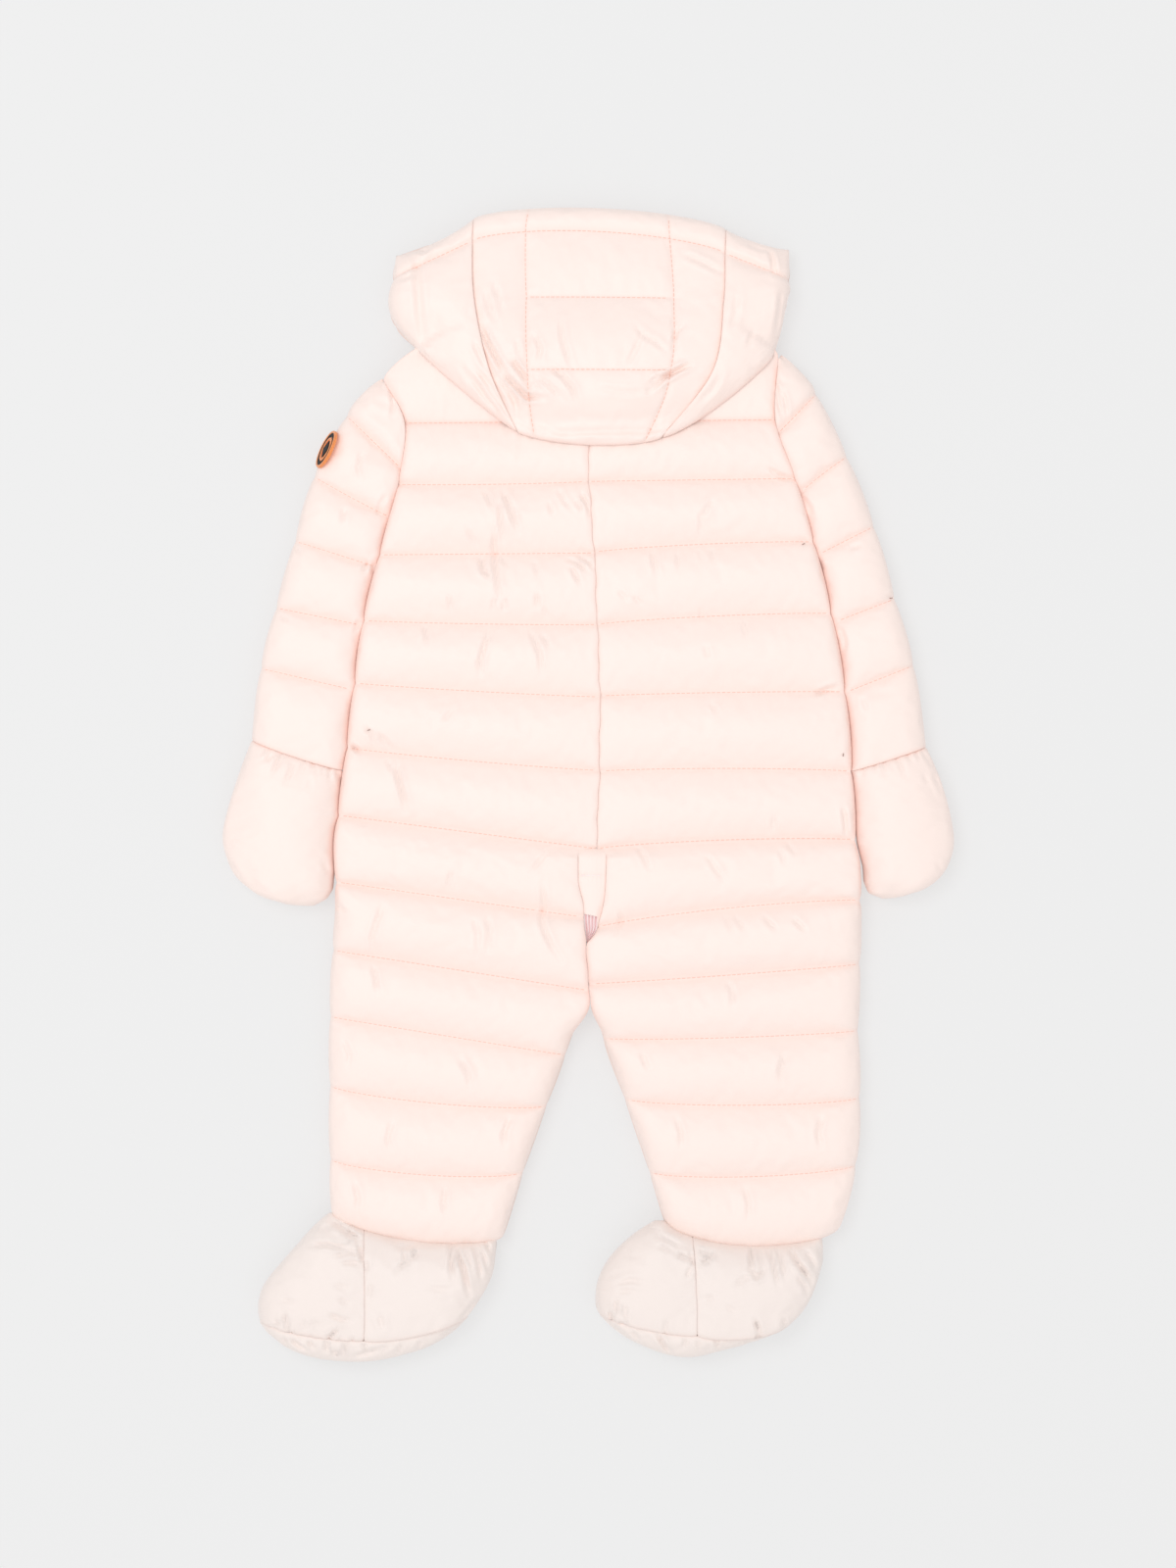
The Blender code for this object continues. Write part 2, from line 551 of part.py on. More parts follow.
def make_hood(fronts):
    """The three hood panels that show, and the sides' continuation under them round the face opening."""
    outer, inner = [], []
    places = row_places(len(HOOD_CENTRE), HOOD_STEPS, (0, 0.2, 0.45, 0.7, 0.86, 0.96))
    rim = None
    for i, t in reversed(places):
        row, puff = row_values(HOOD_CENTRE, i, t)
        outer_row, inner_row = [], []
        for u, across_puff, crossed in hood_columns(row):
            x = mix(row.left_x, row.right_x, u)
            y = mix(row.left_y, row.right_y, u) + row.bow * arch(u)
            outer_row.append((x, y, across_puff * (puff if crossed else max(puff, 0.9))))
            inner_row.append((x, y))
        outer.append((row, outer_row))
        rim = rim or inner_row
    crown = outer[-1][1]
    outer_points, inner_points = [], []
    for row, points in reversed(outer):
        outer_row, inner_row = [], []
        for k, (x, y, puff) in enumerate(points):
            from_rim = math.hypot(x - rim[k][0], y - rim[k][1])
            from_crown = math.hypot(x - crown[k][0], y - crown[k][1])
            low = row.edge + SEAM_GAP / 2
            start = low + CLOTH_EDGE
            full = rise(from_rim / 20) * rise(from_crown / 12)
            under = rise(from_rim / RIM_UNDERCUT)
            outer_row.append((x, y, start + (hood_top(x, y) + PUFF * row.loft * puff - start) * full))
            inner_row.append((x, y, mix(low, hood_inside(x, y), under)))
        outer_points.append(outer_row)
        inner_points.append(inner_row)
    wall("hood_centre", outer_points, inner_points, PINK, plain_inside=False)
    edges = {side: [row[k][:2] for row in outer_points] for side, k in (("left", 0), ("right", -1))}

    for side, sections, below in (
        ("left", HOOD_LEFT, HOOD_UNDER_LEFT),
        ("right", HOOD_RIGHT, HOOD_UNDER_RIGHT),
    ):
        away = 1 if side == "right" else -1
        seam = edges[side]
        rows = lay_out(
            sections, HOOD_STEPS, 1, (0, 0.3, 0.6, 0.85), inner_line=lambda y: x_at(seam, y) + away * SEWN_GAP
        )
        outer, inner = upper_heights(rows, 1, 1, hood_top, hood_inside, roll=16)
        wall(f"hood_{side}", outer, inner, PINK, plain_inside=False)
        rows = lay_out(below, PLAIN_STEPS, 1)
        keep_clear(rows, fronts[side][0], 1, NECK_GAP)
        outer, inner = lower_heights(rows, first_fold=1)
        wall(f"hood_{side}_under", outer, inner, PINK, plain_inside=False)


def make_bootie(side, table, sole, back_rows, front_rows):
    """A bootie: two upper halves joined by the heel seam, a sole round the lower edge and a plain vamp below."""
    away = 1 if side == "right" else -1
    ends = []
    for half, field, sign in (("outer", "outer", 1), ("inner", "inner", -1)):
        bows = [0] * (len(table) - 1) + [-5.5 if (half == "inner") == (side == "left") else -3.5]
        sections = [
            Section(
                getattr(b, field + "_x"), getattr(b, field + "_y"),
                b.seam_x + sign * away * SEWN_GAP / 2, b.seam_y, bow=bow, stitched=0,
            )
            for b, bow in zip(table, bows)
        ]
        sections[0] = sections[0]._replace(stitched=1, loft=0.7)
        sections[-1] = sections[-1]._replace(stitched=1)
        rows = lay_out(sections, (0, 0.5), 1, (0, 0.4, 0.75))
        keep_clear(rows, back_rows[-1], -1)
        outer, inner = upper_heights(rows, roll=22, puff_height=17, top=bootie_top(rows))
        wall(f"bootie_{side}_{half}", outer, inner, SHADED_PINK, plain_inside=False)
        ends += edge_of_last(rows)
    seam = sorted(ends)

    rows = []
    for i, t in row_places(len(sole), (0, 0.5)):
        row = between(sole, i, t)
        top_y = y_at(seam, row.x) - 1.5 * SEWN_GAP
        width = math.hypot(row.x - row.outline_x, top_y - row.outline_y)
        s = Section(row.outline_x, row.outline_y, row.x, top_y, loft=0.3)
        points = []
        for d in (0, 0.1, 0.3, 0.6, 1):
            points.append((mix(s.outer_x, s.inner_x, d), mix(s.outer_y, s.inner_y, d), d * width, (1 - d) * width))
        rows.append((s, 1, points))
    outer, inner = upper_heights(rows, 1, 1, roll=11, puff_height=8)
    wall(f"bootie_{side}_sole", outer, inner, SHADED_PINK)

    sections = [Section(b.outer_x, b.outer_y, b.inner_x, b.inner_y, inner_fold=1) for b in table]
    for inward in (0.12, 0.3):
        sections.append(vamp_section(sole, inward))
    rows = lay_out(sections, (0, 0.5), 2)
    keep_clear(rows, front_rows[-1], -1)
    outer, inner = lower_heights(rows, last_fold=1)
    wall(f"bootie_{side}_vamp", outer, inner, SHADED_PINK, plain_inside=False)


def vamp_section(sole, inward):
    """A row across the sole's outline, this share of the way in from both its ends."""
    n = (len(sole) - 1) * inward
    first = between(sole, int(n), n - int(n))
    last = between(sole[::-1], int(n), n - int(n))
    if abs(first.outline_x) < abs(last.outline_x):
        first, last = last, first
    y = min(first.outline_y, last.outline_y) + 0.5
    return Section(first.outline_x, y, last.outline_x, y, inner_fold=1)


def between(rows, i, t):
    """A row between two rows of a table that has only places."""
    return rows[i]._replace(**{f: curve([getattr(r, f) for r in rows], i, t) for f in rows[0]._fields})


def bootie_top(rows):
    """Stitch height of a bootie: low at the ankle gathers, full over the heel, low at the sole seam."""
    first = sorted((x, y) for x, y, *_ in rows[0][2])
    return lambda x, y: mix(19, 24, smooth((y_at(first, x) - y) / 22))


def edge_of_last(rows):
    return [(x, y) for x, y, *_ in rows[-1][2]]


def make_gusset(left_rows, right_rows):
    """The tab at the foot of the centre back seam, between the two back panels' edges."""
    left, right = edge_line(left_rows, -1), edge_line(right_rows, -1)
    outer, inner = [], []
    for g in GUSSET:
        x0, x1 = x_at(left, g.y) + g.inset, x_at(right, g.y) - g.inset
        xs = [mix(x0, x1, share) for share in (0, 0.25, 0.5, 0.75, 1)]
        outer.append([(x, g.y, g.height + crown) for x, crown in zip(xs, GUSSET_CROWN)])
        inner.append([(x, g.y, min(g.height - GUSSET_THICK, SEAM_HEIGHT + SEAM_GAP / 2)) for x in xs])
    for row in inner[-3:]:
        row[:] = [(x, y, GUSSET_BOTTOM) for x, y, _ in row]
    wall("crotch_gusset", outer, inner, SHADED_PINK, plain_inside=False)


def make_zip(front_rows):
    """The closed zip in the recess between the front panels: its coil and its slider."""
    edge = edge_line(front_rows, -1)
    line = [(x + ZIP_HALF, y) for x, y in edge if -40 < y < FRONT_NECK[0] - 2]
    half, (low, high) = ZIP_HALF - 0.5, ZIP_HEIGHTS
    outer = [[(x - half, y, high), (x + half, y, high)] for x, y in line]
    inner = [[(x - half, y, low), (x + half, y, low)] for x, y in line]
    wall("front_zip", outer, inner, SHADED_PINK, roughness=0.5)
    bpy.ops.mesh.primitive_cube_add(size=MM)
    slider = bpy.context.active_object
    slider.name = slider.data.name = "zip_slider"
    x, y = line[0]
    slider.data.transform(Matrix.Diagonal((*SLIDER, 1)))
    slider.data.transform(Matrix.Translation(Vector((x, y - 8, low - SLIDER[2] / 2 - 0.4)) * MM))
    corner = slider.modifiers.new("rounded", "BEVEL")
    corner.width = 0.6 * MM
    corner.segments = 2
    place(slider, (0.75, 0.73, 0.72, 1), 0.35, 1.0)


def make_badge():
    """A round sewn badge that stands on the left sleeve's rounded outer edge."""
    middle = Vector((-183.2, 233.5, 22.6))
    along = Vector((0.418, 0.908, 0))
    facing = Vector((-0.908 * math.sin(BADGE_TILT), 0.418 * math.sin(BADGE_TILT), math.cos(BADGE_TILT)))
    turn = Matrix((along, facing.cross(along), facing)).transposed().to_4x4()
    for name, radius, hole, low, high, colour in (
        ("badge_disc", BADGE_ACROSS / 2, 0, 0, 1.4, ORANGE),
        ("badge_band", BADGE_ACROSS / 2 - 1.6, BADGE_ACROSS / 2 - 5.0, 1.7, 2.3, BLACK),
    ):
        mesh = bpy.data.meshes.new(name)
        bm = bmesh.new()
        profile = [(hole, low), (radius, low), (radius, high), (hole, high)]
        points = [bm.verts.new((r, 0, z)) for r, z in profile]
        pairs = list(zip(points, points[1:] + points[:1])) if hole else list(zip(points, points[1:]))
        edges = [bm.edges.new(pair) for pair in pairs]
        bmesh.ops.spin(
            bm, geom=points + edges, cent=(0, 0, 0), axis=(0, 0, 1), angle=2 * math.pi, steps=32, use_merge=True
        )
        bmesh.ops.remove_doubles(bm, verts=bm.verts, dist=1e-4)
        bmesh.ops.recalc_face_normals(bm, faces=bm.faces)
        bm.to_mesh(mesh)
        bm.free()
        mesh.transform(Matrix.Scale(MM, 4) @ Matrix.Translation(middle) @ turn)
        place(bpy.data.objects.new(name, mesh), colour, 0.6)


for obj in list(bpy.data.objects):
    bpy.data.objects.remove(obj, do_unlink=True)
suit = bpy.data.collections.new("baby_puffer_snowsuit")
bpy.context.scene.collection.children.link(suit)
ground = bpy.data.objects.new("ground", None)
suit.objects.link(ground)

left_back, left_front = make_body("left", BACK_LEFT)
right_back, right_front = make_body("right", BACK_RIGHT)
make_arm("left", SLEEVE_LEFT, MITTEN_LEFT, left_back, left_front)
make_arm("right", SLEEVE_RIGHT, MITTEN_RIGHT, right_back, right_front)
make_hood({"left": left_front, "right": right_front})
make_bootie("left", BOOTIE_LEFT, SOLE_LEFT, left_back, left_front)
make_bootie("right", BOOTIE_RIGHT, SOLE_RIGHT, right_back, right_front)
make_gusset(left_back, right_back)
make_zip(left_front)
make_badge()

# The ground object moves the whole suit so that its box is centred on the origin and stands on z = 0
bpy.context.view_layer.update()
pieces = [o for o in suit.objects if o.type == "MESH"]
corners = [o.matrix_world @ Vector(c) for o in pieces for c in o.bound_box]
low = Vector(min(c[k] for c in corners) for k in range(3))
high = Vector(max(c[k] for c in corners) for k in range(3))
ground.location = (-(low.x + high.x) / 2, -(low.y + high.y) / 2, -low.z)
bpy.context.view_layer.update()
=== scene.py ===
import json
import math

import bpy
import numpy as np
from mathutils import Matrix, Vector, noise

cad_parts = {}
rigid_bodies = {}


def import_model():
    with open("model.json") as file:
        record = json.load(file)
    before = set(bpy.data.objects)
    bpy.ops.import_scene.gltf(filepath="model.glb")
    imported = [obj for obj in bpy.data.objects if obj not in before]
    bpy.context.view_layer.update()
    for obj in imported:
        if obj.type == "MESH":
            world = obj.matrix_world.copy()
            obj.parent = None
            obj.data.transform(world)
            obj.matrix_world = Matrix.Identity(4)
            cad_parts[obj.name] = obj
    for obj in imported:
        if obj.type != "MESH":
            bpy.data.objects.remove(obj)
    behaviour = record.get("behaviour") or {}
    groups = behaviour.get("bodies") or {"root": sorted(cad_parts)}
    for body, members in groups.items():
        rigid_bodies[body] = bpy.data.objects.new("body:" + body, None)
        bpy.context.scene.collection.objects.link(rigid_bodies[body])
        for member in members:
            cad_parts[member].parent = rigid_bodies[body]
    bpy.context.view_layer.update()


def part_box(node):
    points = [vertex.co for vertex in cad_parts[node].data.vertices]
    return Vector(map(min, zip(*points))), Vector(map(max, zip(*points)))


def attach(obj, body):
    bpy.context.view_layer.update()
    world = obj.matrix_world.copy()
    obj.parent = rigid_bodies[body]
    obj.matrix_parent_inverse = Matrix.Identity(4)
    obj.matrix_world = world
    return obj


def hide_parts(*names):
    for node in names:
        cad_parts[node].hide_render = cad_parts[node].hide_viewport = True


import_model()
mm = 0.001
suitShift = (1.1, -0.084)  # from the cutting tables' origin to the frame's
picture = {"middle": (602, 800.5), "unit": 0.68}  # folds are measured on the picture: its middle, and mm in a unit
seamHeight = 15.0  # where the upper and lower layers meet
print("frame loaded")


# ---- cutting tables ----
# Each row is a quilting line or the end of a panel:
# outer x, outer y, inner x, inner y, bow, loft, fold at the outer edge, fold at the inner edge, sewn, edge height
def rows(*table):
    usual = (0, 0, 0, 0, 0, 1, 1, 0, 1, seamHeight)
    return np.array([tuple(row) + usual[len(row):] for row in table], float)


# Settings that the left and right panels share. Pairs are y and a value there, and ends are the first and last row's.
backs = {
    "endFolds": (1, 0.55),
    "outerRoll": ((-95, 17), (-72, 9)),  # radius; tighter beside the arm
    "outerRise": ((-95, 0), (-72, 7)),  # rise of the folded edge
    "outerValleyShade": ((-95, 0), (-72, 0.9)),  # painted shade where the arm lies against it
    "innerRoll": ((-165, 17), (-148, 7)),
    "innerRise": ((-172, 0), (-150, 9)),
    # painted shade where the legs lie against each other
    "innerValleyShade": ((-180, 0), (-150, 0.9), (-105, 0.9), (-95, 0)),
    "shadedRow": 1,  # painted shade is heaviest along the yoke's seam, more than along the quilting
}
sleeves = {
    "endFolds": (1, 0),
    "roll": 15,
    "innerPower": 1.3,
    "innerRise": ((200, 4.5), (240, 6)),
    # painted shade where the sleeve lies against the body
    "innerValleyShade": ((200, 1), (240, 0.3)),
    # painted shade along the cuff's seam
    "endShades": (0, 0.75),
    "slack": -0.04,
}
mittens = {
    "endFolds": (0, 1),
    "roll": 20,
    "puff": 12,
    "innerPower": 1.3,
    "innerRise": ((-70, 1), (-50, 4)),
    # painted shade where the mitten lies against the body
    "innerValleyShade": ((-80, 0.2), (-50, 0.9)),
    # painted shade along the cuff's seam
    "endShades": (0.75, 0),
    "slack": -0.05,
    "crease": 1.4,
}
hoodSides = {
    "endFolds": (1, 1),
    # painted shade under the rim
    "endShades": (0, 0.8),
    "puff": 7,
    "roll": 16,
    "slack": -0.04,
}
backLeft = {
    **backs,
    "piece": "back_left_quilt",
    "node": "back_left",
    "rows": rows(
        (-143.5, 281.2, -0.7, 309.5, 27, 0.3, 0.3),
        (-128.5, 251.0, -0.7, 252.0, 0, 0.6, 0),
        (-133.0, 208.5, -1.4, 210.5, -1, 1, 0.1),
        (-145.5, 159.5, 2.7, 160.8, 0, 1, 0.9),
        (-156.4, 113.9, 4.8, 111.2, -1),
        (-162.5, 70.4, 6.8, 60.9, -1),
        (-168.0, 25.5, 6.1, 9.9, -1.5),
        (-174.1, -21.4, 3.4, -44.5),
        (-176.3, -42.0, -8.2, -56.8, 0, 1, 1, 0, 0),
        (-175.5, -67.7, -4.4, -92.1, 0, 1, 1, 0.1),
        (-175.6, -88.0, -3.4, -112.0, 0, 1, 1, 0.2, 0),
        (-178.0, -115.3, -2.4, -143.1, 0, 1, 1, 0.4),
        (-180.0, -161.5, -17.5, -188.0, 0, 1, 1, 1),
        (-180.2, -209.8, -30.5, -223.4, -5, 1, 1, 1),
        (-180.0, -260.8, -46.8, -269.6, -6, 1, 1, 1),
        (-178.8, -300.2, -60.5, -314.5, -11.5, 1, 1, 1),
    ),
    "crotch": ((-45.6, -8.2), (-67.7, -8.2), (-74.5, -6.8), (-81.3, -4.8), (-89.4, -4.1), (-98.3, -4.1),
               (-107.1, -2.7), (-118.7, -2.7), (-128.9, -1.4), (-137.7, -1.4), (-147.9, 0.0)),
    "slack": -0.034,
    "seed": 3,
    "loose": ((510, 560, 55, 75, 0.45), (585, 590, 30, 60, 0.35), (385, 770, 45, 50, 0.4), (540, 940, 60, 60, 0.3)),
    "creases": [  # depth, half width, then x and y of each bend on the picture
        (0.9, 1.4, 494, 500, 499, 510, 503, 520), (0.9, 1.4, 509, 512, 511, 530, 513, 552),
        (1.2, 1.5, 513, 500, 518, 512, 523, 527, 530, 545), (0.5, 1.4, 521, 510, 527, 522),
        (1.1, 1.5, 505, 540, 504, 557, 505, 575, 508, 597, 511, 615), (0.6, 1.4, 476, 540, 482, 550, 487, 558),
        (1.2, 1.5, 490, 568, 493, 582, 501, 590), (0.5, 1.3, 513, 570, 518, 579), (0.6, 1.4, 546, 573, 549, 588),
        (0.7, 1.3, 505, 611, 502, 623), (0.7, 1.3, 516, 611, 514, 623), (0.8, 1.4, 548, 606, 549, 621),
        (0.5, 1.4, 555, 619, 558, 631), (0.7, 1.4, 458, 608, 461, 623),
        (1.1, 1.5, 499, 644, 494, 660, 490, 675, 490, 690), (0.9, 1.5, 540, 642, 546, 655, 551, 668, 553, 690),
        (0.6, 1.4, 554, 648, 560, 661), (0.9, 1.4, 583, 578, 588, 589, 593, 597),
        (0.9, 1.4, 578, 570, 590, 575, 601, 584), (0.9, 1.3, 590, 567, 602, 574, 606, 582),
        (1.1, 1.4, 593, 504, 599, 514, 602, 526), (0.6, 1.4, 587, 512, 595, 521),
        (0.6, 1.5, 570, 500, 576, 512, 584, 520), (0.8, 1.4, 434, 640, 436, 656), (0.6, 1.4, 560, 513, 564, 526),
        (1.3, 1.3, 358, 760, 368, 768), (0.8, 1.4, 371, 743, 379, 748, 384, 762),
        (0.7, 1.5, 384, 748, 394, 757, 401, 766), (1.3, 1.6, 404, 777, 406, 790, 410, 805, 413, 816, 414, 829),
        (0.7, 1.4, 397, 777, 401, 788), (0.6, 1.5, 452, 736, 458, 729, 464, 721),
        (1.0, 1.6, 554, 900, 555, 925, 552, 937, 556, 950, 563, 965, 573, 981),
        (0.6, 1.4, 559, 868, 551, 878, 543, 888), (0.7, 1.5, 497, 934, 500, 950, 498, 971),
        (0.8, 1.6, 391, 924, 385, 940, 380, 956, 383, 974), (0.6, 1.4, 484, 938, 488, 952, 487, 975),
        (0.6, 1.4, 461, 889, 457, 906), (0.9, 1.5, 345, 924, 353, 931), (0.9, 1.5, 381, 985, 384, 998, 386, 1012),
        (0.8, 1.6, 470, 1080, 478, 1095, 480, 1108), (0.7, 1.5, 400, 1145, 396, 1160, 399, 1172),
        (0.8, 1.5, 520, 1140, 514, 1156, 515, 1168), (0.7, 1.5, 362, 1206, 366, 1222, 364, 1236),
        (0.7, 1.5, 455, 1210, 452, 1226, 456, 1240), (0.6, 1.5, 350, 1060, 357, 1074, 356, 1088),
    ],
}
backRight = {
    **backs,
    "piece": "back_right_quilt",
    "node": "back_right",
    "rows": rows(
        (130.5, 298.8, 0.1, 309.5, 21, 0.3, 0.3),
        (128.5, 253.3, 0.1, 252.0, 0, 0.6, 0),
        (142.1, 212.5, -0.5, 210.5, 0, 1, 0.1),
        (154.5, 168.3, 3.4, 161.5, 2, 1, 0.9),
        (166.6, 118.7, 5.4, 111.2, 2),
        (176.1, 64.3, 7.5, 61.5, 1),
        (180.9, 9.2, 6.9, 9.2, 2),
        (183.6, -38.4, 6.1, -44.5, 3),
        (186.0, -56.0, 11.6, -56.8, 0, 1, 1, 0, 0),
        (187.0, -80.6, 6.1, -98.9, 4, 1, 1, 0.1),
        (187.3, -100.0, 2.4, -115.0, 0, 1, 1, 0.2, 0),
        (187.0, -124.8, 2.4, -138.4, -1, 1, 1, 0.4),
        (185.8, -171.0, 9.5, -176.5, -2, 1, 1, 1),
        (187.0, -217.9, 24.5, -218.6, -4.5, 1, 1, 1),
        (184.3, -264.9, 41.8, -269.6, -5, 1, 1, 1),
        (173.5, -308.5, 52.5, -305.5, -15, 1, 1, 1),
    ),
    "crotch": ((-45.6, 11.6), (-67.7, 10.9), (-77.9, 10.2), (-88.1, 8.2), (-94.9, 6.1), (-100.3, 5.4),
               (-106.4, 1.4), (-109.8, -2.5), (-118.7, -2.5), (-128.9, -1.2), (-137.7, -1.2), (-147.9, 0.3)),
    "slack": -0.03,
    "seed": 8,
    "loose": ((690, 560, 60, 60, 0.25), (640, 940, 50, 40, 0.4), (790, 930, 60, 50, 0.35), (850, 810, 30, 60, 0.4)),
    "creases": [
        (0.6, 1.5, 716, 527, 714, 546), (0.6, 1.6, 728, 510, 721, 520, 712, 531),
        (0.8, 1.5, 666, 562, 667, 574, 670, 587), (0.6, 1.4, 692, 564, 692, 581), (0.5, 1.4, 713, 561, 716, 573),
        (0.5, 1.4, 726, 560, 727, 573), (0.6, 1.4, 760, 634, 760, 650), (0.5, 1.4, 715, 620, 716, 630),
        (0.6, 1.4, 645, 609, 656, 617), (0.5, 1.4, 631, 604, 640, 612), (1.0, 1.4, 831, 709, 844, 703, 857, 700),
        (0.8, 1.5, 650, 864, 657, 874, 662, 886), (0.7, 1.6, 720, 871, 729, 885, 739, 899),
        (0.5, 1.4, 796, 867, 800, 881), (0.6, 1.4, 803, 861, 812, 872), (0.7, 1.5, 631, 929, 635, 938, 628, 951),
        (0.6, 1.4, 740, 934, 746, 949), (0.7, 1.4, 750, 935, 759, 949), (0.9, 1.5, 779, 934, 791, 949),
        (0.9, 1.5, 809, 937, 821, 949), (0.6, 1.4, 790, 834, 788, 848),
        (1.1, 1.5, 860, 824, 862, 838, 863, 850, 869, 856), (1.0, 1.5, 784, 478, 795, 485, 806, 488),
        (0.6, 1.5, 726, 718, 732, 729), (0.7, 1.6, 742, 1000, 748, 1014, 747, 1028),
        (0.8, 1.5, 800, 1076, 795, 1092, 797, 1105), (0.7, 1.5, 690, 1140, 695, 1156, 693, 1170),
        (0.8, 1.6, 838, 1140, 834, 1155, 837, 1170), (0.7, 1.5, 760, 1212, 764, 1228, 762, 1244),
        (0.6, 1.5, 720, 660, 723, 673), (0.6, 1.5, 655, 1075, 661, 1090),
    ],
}
sleeveLeft = {
    **sleeves,
    "piece": "sleeve_left_quilt",
    "node": "sleeve_left_upper",
    "rows": rows(
        (-144.4, 282.5, -142.2, 278.0, 0, 0.4),
        (-156.8, 272.0, -129.0, 246.0, 0, 0.8, 1, 0, 0),
        (-169.0, 256.0, -132.0, 219.3, 0, 1, 1, 0.3),
        (-191.3, 213.9, -137.0, 186.0, -1, 1, 1, 0.8),
        (-204.7, 169.0, -149.0, 151.3, 0, 1, 1, 1),
        (-217.8, 122.7, -158.0, 110.5, 0, 1, 1, 1),
        (-228.3, 80.6, -165.0, 65.6, 0, 1, 1, 1),
        (-234.0, 30.9, -172.0, 9.9, -2, 1, 1, 1, 0.26),
    ),
    "seed": 5,
    "loose": ((385, 560, 28, 60, 0.5), (370, 640, 22, 50, 0.4)),
    "creases": [
        (1.0, 1.4, 374, 573, 371, 584), (0.9, 1.3, 381, 574, 380, 586), (1.0, 1.4, 388, 577, 393, 590, 396, 602),
        (1.1, 1.4, 391, 596, 386, 610, 384, 626), (0.8, 1.4, 366, 632, 362, 645),
        (0.9, 1.4, 373, 640, 370, 655, 371, 668), (0.7, 1.5, 395, 505, 388, 515, 384, 527),
        (0.8, 1.4, 370, 462, 366, 478, 370, 490), (0.6, 1.4, 300, 556, 306, 566),
        (0.7, 1.5, 398, 398, 402, 412, 400, 426), (0.7, 1.5, 352, 520, 350, 534), (0.6, 1.5, 287, 628, 296, 634),
    ],
}
sleeveRight = {
    **sleeves,
    "piece": "sleeve_right_quilt",
    "node": "sleeve_right_upper",
    "rows": rows(
        (133.2, 299.0, 131.2, 295.5, 0, 0.4),
        (149.0, 283.0, 127.5, 274.0, 0, 0.8, 1, 0, 0),
        (157.0, 271.0, 130.0, 243.8),
        (178.3, 227.5, 143.0, 202.3, 1, 1, 1, 0.5),
        (197.0, 179.2, 158.0, 159.5, 0, 1, 1, 1),
        (211.5, 128.9, 168.0, 112.5, 0, 1, 1, 1),
        (224.5, 82.6, 177.0, 63.6, 0, 1, 1, 1),
        (232.5, 26.2, 181.0, 9.2, -1, 1, 1, 1, 0.26),
    ),
    "seed": 6,
    "loose": ((822, 540, 28, 60, 0.5), (845, 640, 22, 50, 0.4)),
    "creases": [
        (1.0, 1.4, 826, 572, 829, 586), (0.9, 1.4, 836, 571, 840, 584), (0.9, 1.4, 846, 640, 851, 653),
        (1.0, 1.4, 857, 640, 862, 655, 861, 668), (0.8, 1.5, 818, 505, 826, 518, 829, 530),
        (1.0, 1.5, 787, 386, 793, 400, 795, 414, 800, 430), (0.9, 1.4, 797, 398, 801, 412, 803, 428),
        (0.7, 1.4, 905, 610, 914, 606), (0.6, 1.5, 868, 560, 878, 556), (0.6, 1.5, 880, 712, 884, 726),
    ],
}
mittenLeft = {
    **mittens,
    "piece": "mitten_left_top",
    "node": "mitten_left_upper",
    "rows": rows(
        (-234.0, 30.85, -172.0, 9.85, -2, 0.75, 1, 1, 0.3),
        (-243.2, 5.8, -174.0, -9.9, 0, 1, 1, 1, 0),
        (-250.9, -18.7, -175.0, -30.3, 0, 1, 1, 1, 0),
        (-254.0, -39.0, -176.0, -48.6, 0, 1, 1, 1, 0),
        (-247.5, -60.0, -178.0, -62.9, 0, 1, 1, 1, 0),
        (-237.5, -71.0, -179.0, -73.1, 0, 1, 1, 1, 0),
        (-226.0, -78.0, -183.5, -79.9, -1, 1, 1, 1, 0),
        (-211.0, -83.0, -192.0, -84.2, -0.7, 1, 1, 1, 0),
    ),
    "seed": 11,
    "creases": [
        (1.4, 1.5, 288, 767, 284, 780, 278, 791), (1.2, 1.5, 301, 777, 297, 789, 292, 799),
        (0.8, 1.4, 271, 763, 266, 773), (1.0, 1.4, 286, 767, 276, 773, 264, 777), (0.8, 1.4, 312, 776, 309, 787),
        (1.2, 1.4, 318, 775, 321, 784), (1.4, 1.4, 336, 781, 337, 796), (0.8, 1.4, 330, 782, 331, 793),
        (1.1, 1.5, 343, 786, 348, 797, 350, 807), (0.6, 1.4, 325, 782, 324, 795), (0.7, 1.6, 238, 856, 247, 860),
        (0.8, 1.6, 234, 879, 241, 889, 247, 898), (0.5, 1.6, 318, 795, 316, 806), (0.6, 1.5, 277, 765, 272, 780),
        (0.6, 1.8, 330, 880, 337, 894),
    ],
}
